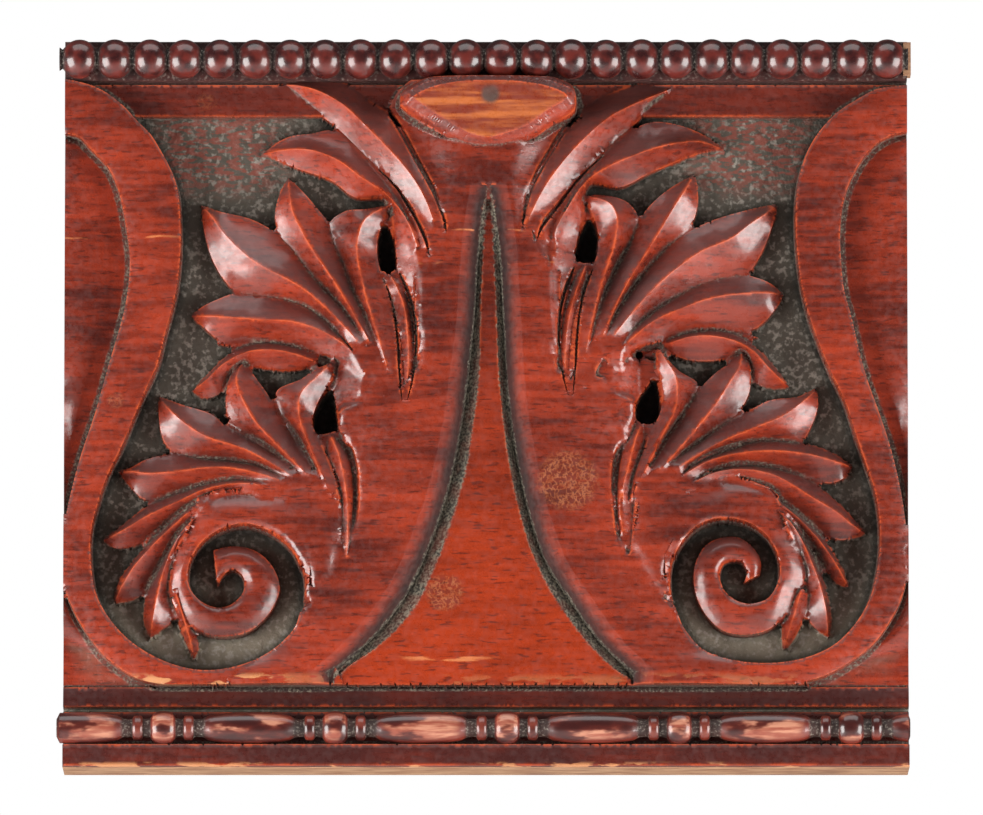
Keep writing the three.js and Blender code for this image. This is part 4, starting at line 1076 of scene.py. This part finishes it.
def within(points, margin):
    """Whether each point lies on the front, at least so far from its rim."""
    return (np.abs(points[:, 0]) < HALF_LENGTH - margin) & (
        np.abs(points[:, 1]) < HALF_HEIGHT - margin)


# points on the drawn lines that the finished relief still shows
drawn = np.concatenate(arrises)
at = cells(drawn[:, 0], drawn[:, 1])
shows = (np.abs(as_drawn[at] - drawn[:, 2]) < DRAWN_SEEN) & ~rubbed_smooth[at]
drawn = drawn[within(drawn, OPEN_TO) & shows]
square = np.floor(drawn[:, :2] / DRAWN_SPACING).astype(int) @ np.array([1, ROW_STRIDE])
_, first = np.unique(square, return_index=True)
drawn = drawn[np.sort(first)]
at = cells(drawn[:, 0], drawn[:, 1])
drawn_h = drawn[:, 2] + (relief - as_drawn)[at]
taken = np.zeros(relief.shape, bool)
taken[at] = True


def far_from_points(spread, share):
    """The cells that lie clear of every point chosen so far."""
    return soften(taken.astype(np.float32), spread) < share


# then crests and feet that no line follows, and then the open surface
change = relief - soften(relief, CHANGE_SPREAD)
tops, feet = strongest(change), strongest(-change)
free_for_tops, free_for_feet = far_from_points(1.8, 0.01), far_from_points(1.0, 0.02)
tops = tuple(t[free_for_tops[tops]] for t in tops)
feet = tuple(t[free_for_feet[feet]] for t in feet)
taken[tops] = taken[feet] = True
clear = far_from_points(2.0, 0.012)
bend = soften(np.abs(soften(relief, 3) - soften(relief, 9)), 5)
fine_at = lattice(FINE, clear & (bend > BENT))
coarse_at = lattice(COARSE, clear & (bend <= BENT))
inner = np.concatenate([np.stack([drawn[:, 0], drawn[:, 1], drawn_h], 1)] + [
    np.stack([xs[at[1]], zs[at[0]], heights[at]], 1) for at, heights in (
        (tops, with_beside(relief, np.maximum)), (feet, with_beside(relief, np.minimum)),
        (fine_at, relief), (coarse_at, relief))
])

# how far the finish is rubbed off at each point: along the crests alone
sharp = with_beside(relief - soften(relief, 3), np.maximum)
share = np.where(sharp > SHARP, EDGE_RUBBED, np.clip((sharp - BARELY_SHARP) / SHARP_RANGE, 0, 1))
crest = with_beside(change, np.maximum) >= CREST_SHARE * grown(change, 3, np.maximum)
on_line = len(drawn) + len(tops[0])
rubbed = np.zeros(len(inner))
rubbed[:on_line] = (share * crest)[cells(inner[:on_line, 0], inner[:on_line, 1])]
held = within(inner, RIM_STEP)
inner, rubbed = inner[held], rubbed[held]

# the rim of the front, and the triangles over it
last_row, last_column = len(zs) - 1, len(xs) - 1
steep_left, steep_right = (
    np.nonzero(np.abs(np.diff(relief[:, column])) > RIM_STEP)[0] for column in (0, last_column)
)
along = np.unique(np.concatenate([np.arange(0, len(xs), RIM_CELLS), [last_column]]))
upward = np.unique(np.concatenate([
    np.arange(0, len(zs), RIM_CELLS), steep_left, steep_left + 1, steep_right, steep_right + 1,
    [last_row],
]))
border = [(0, c) for c in along] + [(r, last_column) for r in upward[1:]]
border += [(last_row, c) for c in along[-2::-1]] + [(r, 0) for r in upward[-2:0:-1]]
border_rows, border_columns = np.array(border).T
rim = len(border)
border_h = relief[border_rows, border_columns]
skin = np.concatenate([np.stack([xs[border_columns], zs[border_rows], border_h], 1), inner])
flat = np.clip(skin[:, :2], (-HALF_LENGTH, -HALF_HEIGHT), (HALF_LENGTH, HALF_HEIGHT))
rows, columns = cells(flat[:, 0], flat[:, 1])


def triangles(flat_points, clockwise):
    """Triangles over flat points, all turned one way."""
    found = delaunay_2d_cdt([Vector(p) for p in flat_points], [], [], 0, 1e-5, False)
    faces = np.array(found[2])
    a, b, c = (flat_points[faces[:, k]] for k in range(3))
    area = np.cross(b - a, c - a)
    turned = area > 0 if clockwise else area < 0
    faces[turned] = faces[turned][:, ::-1]
    return faces


front = triangles(flat, clockwise=False)
points = np.stack([flat[:, 0], -skin[:, 2], flat[:, 1]], 1)

# sawn ends and edges in rows behind the rim, and the back
rings = [points[:rim] * (1, 1 - k / BACK_ROWS, 1) for k in range(1, BACK_ROWS + 1)]
ids = [np.arange(rim)] + [len(points) + k * rim + np.arange(rim) for k in range(BACK_ROWS)]
sides = np.concatenate([
    np.stack([near, far, np.roll(far, -1), np.roll(near, -1)], 1)
    for near, far in zip(ids, ids[1:])
])
back_x, back_z = np.meshgrid(
    np.arange(-BACK_REACH_X, BACK_REACH_X + 1, BACK_SPACING),
    np.arange(-BACK_REACH_Z, BACK_REACH_Z + 1, BACK_SPACING),
)
back_inner = np.stack([back_x.ravel(), back_z.ravel()], 1)
back_start = len(points) + BACK_ROWS * rim
back_ids = np.concatenate([ids[-1], back_start + np.arange(len(back_inner))])
back = back_ids[triangles(np.concatenate([flat[:rim], back_inner]), clockwise=True)]
back_points = np.stack([back_inner[:, 0], np.zeros(len(back_inner)), back_inner[:, 1]], 1)
all_points = np.concatenate([points, *rings, back_points])


def mesh_from(name, points_mm, polygons, sharp_from):
    """A piece of triangles and quads from points in mm, smooth but for its sharp edges."""
    mesh = bpy.data.meshes.new(name)
    sizes = np.concatenate([np.full(len(p), p.shape[1]) for p in polygons])
    corners = np.concatenate([p.ravel() for p in polygons])
    mesh.vertices.add(len(points_mm))
    mesh.vertices.foreach_set("co", (points_mm * MM).ravel())
    mesh.loops.add(len(corners))
    mesh.loops.foreach_set("vertex_index", corners)
    mesh.polygons.add(len(sizes))
    mesh.polygons.foreach_set("loop_start", np.concatenate([[0], np.cumsum(sizes)[:-1]]))
    mesh.update(calc_edges=True)
    mesh.shade_smooth()
    mesh.set_sharp_from_angle(angle=math.radians(sharp_from))
    piece = bpy.data.objects.new(name, mesh)
    bpy.context.scene.collection.objects.link(piece)
    return piece


SHARP_FROM = 40
panel = mesh_from("carved_mahogany_panel", all_points, [front, sides, back], SHARP_FROM)


# Carved panel: finish
# Mahogany stained red and shellacked, gone dull where it faces up and painted purple there, partly
# dust and partly a painted reflection of the overhead lamp, rubbed bright along its crests, with a
# century of grey dust in the sunk ground and painted shade close under the tall forms and in the
# eyes. Sawn faces are bare wood.
def note(piece, name, values):
    """Keeps one number for each point of the piece, for its material to read."""
    layer = piece.data.attributes.new(name, "FLOAT", "POINT")
    layer.data.foreach_set("value", values.astype(np.float32))


def at_points(field, behind=0.0):
    """The field at each point of the front and, behind it, a plain value."""
    return np.concatenate([field[rows, columns], np.full(len(all_points) - len(rows), behind)])


BEHIND_HEIGHT = 20.0  # the front alone shows height, so behind it any high one will do
slope_up = (shifted(relief, 1, 0) - shifted(relief, -1, 0)) / (2 * CELL)
between_grooves = np.zeros(relief.shape)
for side, groove in ((-1, GROOVE_LEFT), (1, GROOVE_RIGHT)):
    inward = (side * (across - STEM_AXIS) >= 0) & (side * (across - at_rows(groove, 0)) < 0)
    between_grooves[inward & (up < APEX) & (up > CARVING_FOOT)] = 1
on_board = np.zeros(len(all_points))
on_board[rim : rim + len(rubbed)] = rubbed
note(panel, "rubbed", on_board)
note(panel, "hollow", at_points(soften(relief, 7) - relief))
note(panel, "sheltered", at_points(soften(relief, 22) - relief))
note(panel, "height", at_points(soften(relief, 1.5), behind=BEHIND_HEIGHT))
note(panel, "faces_up", at_points(soften(slope_up, 2)))
note(panel, "spire", at_points(soften(between_grooves, 2)))
note(panel, "cut_face", at_points(soften(worn.astype(float), 1.5)))
note(panel, "rolled", at_points(soften(rolled, 2)))
note(panel, "groove_bed", at_points(soften(groove_bed.astype(float), 1.2)))


def mixed(tree, share, one, other):
    """A colour between two colours."""
    return tree.make("Mix", {0: share, 6: one, 7: other}, output=2, data_type="RGBA")


def grained(tree, place, stretch, scale, detail=3.0):
    """Soft noise from 0 to 1, drawn out by dividing its scale along x, y and z."""
    drawn_out = tree.make("VectorMath", {0: place, 1: stretch}, operation="MULTIPLY")
    return tree.make("TexNoise", {"Vector": drawn_out, "Scale": scale, "Detail": detail})


def spot(tree, place, x, z, radius, fade=0.35):
    """1 on a round spot of the front, fading to 0 at its edge. Sizes in mm."""
    flat_place = tree.make("VectorMath", {0: place, 1: (1, 0, 1)}, operation="MULTIPLY")
    centre = (x * MM, 0, z * MM)
    away = tree.make(
        "VectorMath", {0: flat_place, 1: centre}, output="Value", operation="DISTANCE"
    )
    return 1 - away.between(radius * (1 - fade) * MM, radius * MM)


def stretch_of(value, low, high, fade):
    """1 where the value lies between low and high, fading in and out over fade."""
    return value.between(low - fade, low + fade) * (1 - value.between(high - fade, high + fade))


def surface(tree, colour, roughness, normal, coat=None, coat_roughness=0.0):
    """Ends the material in one surface, under a coat of shellac where coat gives its weight."""
    inputs = {"Base Color": colour, "Roughness": roughness, "Normal": normal}
    if coat:
        inputs |= {"Coat Weight": coat, "Coat Roughness": coat_roughness}
    tree.make("OutputMaterial", {"Surface": tree.make("BsdfPrincipled", inputs)})


ALIKE = (1, 1, 1)  # not drawn out
shellac = bpy.data.materials.new("shellacked mahogany")
tree = Tree(shellac)
place = tree.make("TexCoord", output="Object")
x_at = tree.make("SeparateXYZ", {0: place}, output="X")
z_at = tree.make("SeparateXYZ", {0: place}, output="Z")
rubbed_at, hollow_at, sheltered_at, height_at, up_at, spire_at, cut_at, rolled_at, bed_at = (
    tree.make("Attribute", attribute_name=name, output="Fac")
    for name in (
        "rubbed", "hollow", "sheltered", "height", "faces_up", "spire", "cut_face", "rolled",
        "groove_bed",
    )
)

blotch = grained(tree, place, (1, 1, 1.4), 32)
streak = grained(tree, place, (0.12, 0.3, 1), 520, 4)
pore = grained(tree, place, (0.16, 0.5, 1), 1500, 2)
mottle = grained(tree, place, ALIKE, 620, 4)
fibre = grained(tree, place, ALIKE, 1500, 3)
ragged = grained(tree, place, (0.5, 1, 1), 260, 4)

# stained wood: streaked red, more orange low on the spire, maroon on the plain mouldings
DEEP_RED, BRIGHT_RED = (0.055, 0.008, 0.006, 1), (0.385, 0.043, 0.016, 1)
ORANGE_RED, MAROON = (0.43, 0.040, 0.005, 1), (0.060, 0.014, 0.012, 1)
ROLL_DARK, PORE_DARK = (0.016, 0.009, 0.008, 1), (0.050, 0.010, 0.008, 1)
UP_DUST_AND_SHEEN = (0.095, 0.034, 0.031, 1)
tone = 0.10 + streak.between(0.36, 0.64) * 0.38 + blotch.between(0.34, 0.66) * 0.48
colour = mixed(tree, tone, DEEP_RED, BRIGHT_RED)
low_down = 1 - z_at.between(-0.07, 0.045)
orange = spire_at * (0.05 + 0.50 * low_down) * (0.7 + 0.6 * streak)
colour = mixed(tree, orange, colour, ORANGE_RED)
low_moulding = 1 - z_at.between(-0.0769, -0.0764)
top_fillet = z_at.between(0.0782, 0.0790) * 0.62 * (1 - height_at.between(15.1, 15.8))
moulding = low_moulding + top_fillet
colour = mixed(tree, moulding * (0.55 + 0.45 * blotch.between(0.35, 0.6)), colour, MAROON)
# painted shade: the stem's sides go near black as they roll over into the grooves
roll_shade = rolled_at.between(0.10, 0.80) * (0.80 + 0.2 * ragged)
colour = mixed(tree, roll_shade, colour, ROLL_DARK)
colour = mixed(tree, pore.between(0.57, 0.68) * 0.62, colour, PORE_DARK)
# upward faces painted purple-brown: partly dust, partly a painted reflection of the overhead lamp
lies_up = up_at.between(0.12, 0.62)
colour = mixed(tree, lies_up * (0.55 + 0.3 * mottle), colour, UP_DUST_AND_SHEEN)

# the worn head: bare orange wood with a dark knot
CUT_BRIGHT, CUT_DARK = (0.50, 0.130, 0.034, 1), (0.20, 0.026, 0.010, 1)
KNOT = (0.09, 0.05, 0.04, 1)
cut_colour = mixed(tree, streak.between(0.36, 0.66), CUT_DARK, CUT_BRIGHT)
cut_colour = mixed(tree, spot(tree, place, 1.2, 83.0, 3.2, fade=0.5), cut_colour, KNOT)
bare_head = cut_at.between(0.4, 0.7) * (1 - z_at.between(0.082, 0.088) * 0.6)
colour = mixed(tree, bare_head, colour, cut_colour)

# round crackled marks: x, z, radius, strength
CRACKLED = [
    (22.2, -21.6, 9.4, 1.0), (-11.1, -51.6, 5.8, 1.0), (-75.7, 82.6, 3.2, 0.4),
    (-100.0, 0.5, 2.6, 0.5),
]
CRACKLE_DARK, CRACKLE_PALE = (0.15, 0.034, 0.022, 1), (0.40, 0.125, 0.052, 1)
crackle = stretch_of(grained(tree, place, ALIKE, 900, 3), 0.46, 0.56, 0.03)
worn_away = mottle.between(0.36, 0.56)
for x, z, radius, strength in CRACKLED:
    mark = spot(tree, place, x, z, radius) * strength
    colour = mixed(tree, mark * (1 - crackle) * 0.5, colour, CRACKLE_DARK)
    colour = mixed(tree, mark * crackle * (0.35 + 0.45 * worn_away), colour, CRACKLE_PALE)

# scratches along the grain, in metres: level, from, to, half width, whether on the stem alone
SCRATCHES = [
    (0.0466, -0.016, 0.052, 0.00028, True), (0.0378, -0.017, 0.046, 0.00034, True),
    (0.0452, -0.115, -0.085, 0.00025, False), (-0.0695, -0.022, 0.0, 0.0006, False),
]
SCRATCH = (0.66, 0.21, 0.075, 1)
drift = (ragged - 0.5) * 0.004
for scratch_z, left, right, width, stem_alone in SCRATCHES:
    line = stretch_of(z_at + drift * 0.35, scratch_z - width, scratch_z + width, 0.0002)
    on_stem_only = height_at.between(21.2, 21.9) if stem_alone else 1.0
    scratch = line * stretch_of(x_at, left, right, 0.006) * on_stem_only
    scratch = scratch * grained(tree, place, (0.3, 1, 1), 330).between(0.46, 0.58)
    colour = mixed(tree, scratch * 0.85, colour, SCRATCH)

# rubbed crests and edges, and the chipped foot of the carving and of the fascia
GLOWING, RUBBED = (0.44, 0.060, 0.018, 1), (0.58, 0.095, 0.030, 1)
CHIPPED = (0.62, 0.27, 0.115, 1)
glow = rubbed_at.between(0.05, 0.75) * (0.20 + 0.5 * ragged.between(0.4, 0.62))
colour = mixed(tree, glow, colour, GLOWING)
rub_line = rubbed_at.between(0.55, 0.88) * (0.22 + 0.62 * ragged.between(0.38, 0.60))
colour = mixed(tree, rub_line, colour, RUBBED)
foot_band = stretch_of(z_at, -0.0768, -0.0742, 0.0010) * height_at.between(15.5, 17.5)
foot_band = foot_band * (0.25 + 0.75 * stretch_of(x_at, -0.102, -0.056, 0.006))
fascia_foot = 1 - z_at.between(-0.0986, -0.0974)
feet = foot_band + fascia_foot * 0.9
chipped = feet * grained(tree, place, (0.3, 1, 1), 300, 4).between(0.52, 0.57)
colour = mixed(tree, chipped, colour, CHIPPED)

# dust in the valleys, in the grooves and over the sunk ground, with red flakes at its top, painted
# shade close under the tall forms and in the eyes, and the ground painted paler low down
KHAKI, DUST_DARK = (0.30, 0.265, 0.20, 1), (0.058, 0.050, 0.040, 1)
DUST_PALE, FLAKE = (0.46, 0.42, 0.36, 1), (0.27, 0.060, 0.040, 1)
VALLEY_DARK, BED_DARK = (0.045, 0.038, 0.032, 1), (0.060, 0.052, 0.042, 1)
SHADE, EYE_SHADE = (0.012, 0.011, 0.008, 1), (0.006, 0.005, 0.004, 1)
settled = hollow_at.between(0.12, 0.55) * (0.60 + 0.40 * fibre.between(0.35, 0.6))
valley_dust = mixed(tree, fibre.between(0.44, 0.72) * 0.8, VALLEY_DARK, KHAKI)
colour = mixed(tree, settled * 0.85, colour, valley_dust)
bed_dust = mixed(tree, fibre.between(0.40, 0.62), BED_DARK, KHAKI)
in_bed = bed_at.between(0.25, 0.75)
colour = mixed(tree, in_bed * (0.70 + 0.30 * ragged.between(0.4, 0.6)), colour, bed_dust)
on_ground = 1 - height_at.between(11.8, 13.2)
# the ground low down is painted paler: partly dust lying there, partly painted light
low_ring = 1 - z_at.between(-0.066, -0.045)
lint = grained(tree, place, ALIKE, 760, 6)
drifted = grained(tree, place, ALIKE, 110, 3).between(0.36, 0.66)
fuzz = lint.between(0.48, 0.66) * (0.32 + 0.28 * drifted + 0.40 * low_ring)
dust_and_low_light = mixed(tree, 0.14 + low_ring * 0.86, DUST_DARK, KHAKI)
ground_colour = mixed(tree, fuzz, dust_and_low_light, DUST_PALE)
flaked_part = z_at.between(0.055, 0.064) * stretch_of(x_at * x_at, 0.0032, 0.0078, 0.0008)
flakes = flaked_part * grained(tree, place, (0.35, 1, 1), 900, 3).between(0.44, 0.56)
ground_colour = mixed(tree, flakes * 0.75, ground_colour, FLAKE)
# painted shadow: the sunk ground darkens close under the tall forms round it
ground_colour = mixed(tree, sheltered_at.between(0.8, 4.2) * 0.72, ground_colour, SHADE)
# painted shade: the floors of the deep eyes are painted near black
in_eye = 1 - height_at.between(9.6, 10.4)
ground_colour = mixed(tree, in_eye, ground_colour, EYE_SHADE)
colour = mixed(tree, on_ground, colour, ground_colour)

dusty = settled.between(0.25, 0.8) + on_ground + in_bed + rolled_at.between(0.0, 0.14)
dull = 0.24 + 0.26 * mottle.between(0.35, 0.7) + 0.16 * lies_up
bumps = mottle * 0.55 + pore * 0.25 + (settled + on_ground) * fibre * 1.6
wrinkles = tree.make("Bump", {"Strength": 0.35, "Distance": 0.35 * MM, "Height": bumps})
roughness = dull + 0.5 * dusty.between(0.0, 1.0)
coat = 0.68 * (1 - dusty.between(0.0, 1.0))
surface(tree, colour, roughness, wrinkles, coat, 0.16)
panel.data.materials.append(shellac)

SAWN_DARK, SAWN_PALE = (0.30, 0.135, 0.070, 1), (0.56, 0.33, 0.19, 1)
SOILED = (0.20, 0.10, 0.065, 1)
bare = bpy.data.materials.new("bare mahogany")
tree = Tree(bare)
place = tree.make("TexCoord", output="Object")
saw = grained(tree, place, (0.15, 1, 1), 700, 4)
soil = grained(tree, place, ALIKE, 45)
colour = mixed(tree, saw.between(0.32, 0.68), SAWN_DARK, SAWN_PALE)
colour = mixed(tree, soil.between(0.5, 0.75) * 0.5, colour, SOILED)
sawn_bump = tree.make("Bump", {"Strength": 0.4, "Distance": 0.3 * MM, "Height": saw})
surface(tree, colour, 0.75, sawn_bump)
panel.data.materials.append(bare)


def bare_from(piece, first):
    """Leaves the faces of the piece from the first one on as bare wood."""
    slots = np.zeros(len(piece.data.polygons), np.int32)
    slots[first:] = 1
    piece.data.polygons.foreach_set("material_index", slots)


bare_from(panel, len(front))
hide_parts("carved_panel")
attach(panel, "root")


# Bead strip
# A turned rod of 24 beads on a narrow flat strip, let into a rebate along the top of the board
# and stained darker than it. At its right end a stub of the strip shows bare wood.
BEAD_PITCH, BEAD_COUNT, FIRST_BEAD = 9.505, 24, -110.0
BEAD_RADIUS, BEAD_NECK, BEAD_STEPS = 5.4, 2.6, 19
BEAD_HALF, BEAD_ROUND = 0.485, 0.90  # half length over pitch, and where its round is cut off
BEAD_SIZE_MORE, BEAD_SIZE_LESS = 0.08, 0.12  # by hand, no two are quite alike
BEAD_AXIS = (93.4, 22.4)  # z, height
ROD_LEFT, ROD_RIGHT = (-115.4, 3.2), (114.2, 3.0)  # x, radius
STRIP = ((-114, -19.0, 88.1), (114, -14.3, 98.7))
STUB = ((113.0, -21.6, 89.4), (115.0, -15.0, 98.2))
ROD_SIDES = 40
PLAIN_RADIUS = 3.3  # the strip takes the finish of a neck of this radius


def turned_rod(stations, axis):
    """The points, faces and radii of a rod turned along x, closed at its ends."""
    axis_z, axis_high = axis
    angle = np.linspace(0, 2 * math.pi, ROD_SIDES, endpoint=False)
    x, radius = np.repeat(np.array(stations), ROD_SIDES, 0).T
    turn = np.tile(angle, len(stations))
    rod = np.stack([x, -axis_high - radius * np.cos(turn), axis_z + radius * np.sin(turn)], 1)
    ring, after = np.arange(ROD_SIDES), np.roll(np.arange(ROD_SIDES), -1)
    starts = np.arange(len(stations) - 1)[:, None] * ROD_SIDES
    near, far = starts + ring, starts + after
    quads = np.stack([near, far, far + ROD_SIDES, near + ROD_SIDES], 2).reshape(-1, 4)
    ends = np.array([[stations[0][0], -axis_high, axis_z], [stations[-1][0], -axis_high, axis_z]])
    first, last, end = np.full(ROD_SIDES, len(rod)), len(rod) + 1, len(rod) - ROD_SIDES
    caps = np.concatenate([
        np.stack([first, after, ring], 1),
        np.stack([np.full(ROD_SIDES, last), end + ring, end + after], 1),
    ])
    return np.concatenate([rod, ends]), [quads, caps], radius


def block(low, high):
    """The corners and faces of a plain block between two corners, in mm."""
    corners = np.array([[(low, high)[i][0], (low, high)[j][1], (low, high)[k][2]]
                        for i in (0, 1) for j in (0, 1) for k in (0, 1)])
    quads = np.array([
        [0, 1, 3, 2], [4, 6, 7, 5], [0, 4, 5, 1], [2, 3, 7, 6], [0, 2, 6, 4], [1, 5, 7, 3],
    ])
    return corners, quads


stations = [ROD_LEFT]
for bead in range(BEAD_COUNT):
    centre = FIRST_BEAD + bead * BEAD_PITCH + rng.uniform(-0.12, 0.12)
    size = BEAD_RADIUS + rng.uniform(-BEAD_SIZE_LESS, BEAD_SIZE_MORE)
    for t in np.linspace(-1, 1, BEAD_STEPS):
        radius = max(BEAD_NECK, size * math.sqrt(1 - (BEAD_ROUND * t) ** 2))
        stations.append((centre + t * BEAD_PITCH * BEAD_HALF, radius))
stations.append(ROD_RIGHT)
rod_points, rod_faces, radii = turned_rod(stations, BEAD_AXIS)
strip_points, strip_faces = block(*STRIP)
stub_points, stub_faces = block(*STUB)
strip_start = len(rod_points)
stub_start = strip_start + len(strip_points)
all_bead_points = np.concatenate([rod_points, strip_points, stub_points])
bead_faces = [*rod_faces, strip_faces + strip_start, stub_faces + stub_start]
beads = mesh_from("pearl_bead_strip", all_bead_points, bead_faces, SHARP_FROM)
plain = np.full(len(all_bead_points) - len(radii), PLAIN_RADIUS)
note(beads, "radius", np.concatenate([radii, plain]))

DARK_SHADES = (0.035, 0.006, 0.006, 1), (0.135, 0.018, 0.013, 1)
NECK_DUST = (0.018, 0.013, 0.011, 1), (0.30, 0.27, 0.23, 1)
bead_finish = bpy.data.materials.new("dark shellac")
tree = Tree(bead_finish)
place = tree.make("TexCoord", output="Object")
radius_at = tree.make("Attribute", attribute_name="radius", output="Fac")
fibre = grained(tree, place, ALIKE, 1500, 3)
smear = grained(tree, place, ALIKE, 260, 4)
in_neck = 1 - radius_at.between(2.7, 4.0)
colour = mixed(tree, smear.between(0.35, 0.65), *DARK_SHADES)
neck_dust = mixed(tree, fibre.between(0.50, 0.72), *NECK_DUST)
colour = mixed(tree, in_neck * (0.5 + 0.5 * smear.between(0.3, 0.6)), colour, neck_dust)
bumps = smear * 0.6 + in_neck * fibre
smears = tree.make("Bump", {"Strength": 0.25, "Distance": 0.3 * MM, "Height": bumps})
roughness = 0.20 + 0.2 * smear + 0.5 * in_neck
surface(tree, colour, roughness, smears, 0.8 * (1 - in_neck), 0.12)
beads.data.materials.append(bead_finish)
beads.data.materials.append(bare)
bare_from(beads, -len(stub_faces))
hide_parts("bead_strip")
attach(beads, "root")


# Bead and reel
# A turned rod of long beads, round beads and reels, laid in the channel below the carving. It is
# stained like the bead strip, and rubbed through to the raw wood along its front.
REEL_AXIS = (-88.4, 19.0)  # z, height
ROD_LOW, ROD_HIGH, ROD_END = -115.6, 114.2, 2.4  # x of each end, and the radius at both
REPEAT, FIRST_ROUND = 46.3, -86.9
REEL_BESIDE, LONG_BESIDE = 6.85, 23.15  # from the middle of each round bead
FORMS = {  # half length, radius, radius at the ends, squareness, steps
    "round": (3.45, 4.5, 2.6, 2.2, 9),
    "reel": (1.6, 3.4, 2.4, 4, 6),
    "long": (12.5, 4.2, 2.5, 2.2, 17),
}
REELS_SHARP_FROM = 50


def bulge(centre, half, radius, end_radius, power, count):
    """The stations of one turned form of the rod: x and radius."""
    swell = [(t, math.sqrt(1 - abs(t) ** power)) for t in np.linspace(-1, 1, count)]
    return [(centre + t * half, end_radius + (radius - end_radius) * s) for t, s in swell]


forms = []
for k in range(-1, 6):
    middle = FIRST_ROUND + k * REPEAT
    forms += [(middle, "round"), (middle + LONG_BESIDE, "long")]
    forms += [(middle - REEL_BESIDE, "reel"), (middle + REEL_BESIDE, "reel")]
stations = [(ROD_LOW, ROD_END)]
for centre, kind in sorted(forms):
    stations += [
        (x, radius) for x, radius in bulge(centre, *FORMS[kind])
        if ROD_LOW + 0.1 < x < ROD_HIGH - 0.1
    ]
stations.append((ROD_HIGH, ROD_END))
rod_points, rod_faces, radii = turned_rod(stations, REEL_AXIS)
reels = mesh_from("bead_and_reel_rod", rod_points, rod_faces, REELS_SHARP_FROM)
radii = np.concatenate([radii, [ROD_END, ROD_END]])
note(reels, "radius", radii)
note(reels, "faces_front", (-rod_points[:, 1] - REEL_AXIS[1]) / radii)

REEL_SHADES = (0.045, 0.008, 0.007, 1), (0.20, 0.030, 0.018, 1)
RAW_SHADES = (0.33, 0.075, 0.040, 1), (0.62, 0.27, 0.165, 1)
REEL_DUST = (0.022, 0.015, 0.012, 1), (0.27, 0.24, 0.20, 1)
reel_finish = bpy.data.materials.new("rubbed shellac")
tree = Tree(reel_finish)
place = tree.make("TexCoord", output="Object")
radius_at = tree.make("Attribute", attribute_name="radius", output="Fac")
front_at = tree.make("Attribute", attribute_name="faces_front", output="Fac")
fibre = grained(tree, place, ALIKE, 1500, 3)
smear = grained(tree, place, (0.4, 1, 1), 210, 4)
streak = grained(tree, place, (0.15, 1, 1), 900, 3)
in_neck = 1 - radius_at.between(2.5, 3.2)
colour = mixed(tree, smear.between(0.35, 0.65), *REEL_SHADES)
rubbed_through = front_at.between(0.45, 0.85) * radius_at.between(3.3, 3.9)
rubbed_through = rubbed_through * smear.between(0.46, 0.56)
raw = mixed(tree, streak.between(0.35, 0.65), *RAW_SHADES)
colour = mixed(tree, rubbed_through * 0.9, colour, raw)
neck_dust = mixed(tree, fibre.between(0.50, 0.72), *REEL_DUST)
colour = mixed(tree, in_neck * 0.85, colour, neck_dust)
bumps = smear * 0.8 + in_neck * fibre
smears = tree.make("Bump", {"Strength": 0.3, "Distance": 0.3 * MM, "Height": bumps})
roughness = 0.22 + 0.2 * smear + 0.3 * in_neck + 0.2 * rubbed_through
surface(tree, colour, roughness, smears, 0.8 * (1 - in_neck), 0.12)
reels.data.materials.append(reel_finish)
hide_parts("bead_and_reel")
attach(reels, "root")
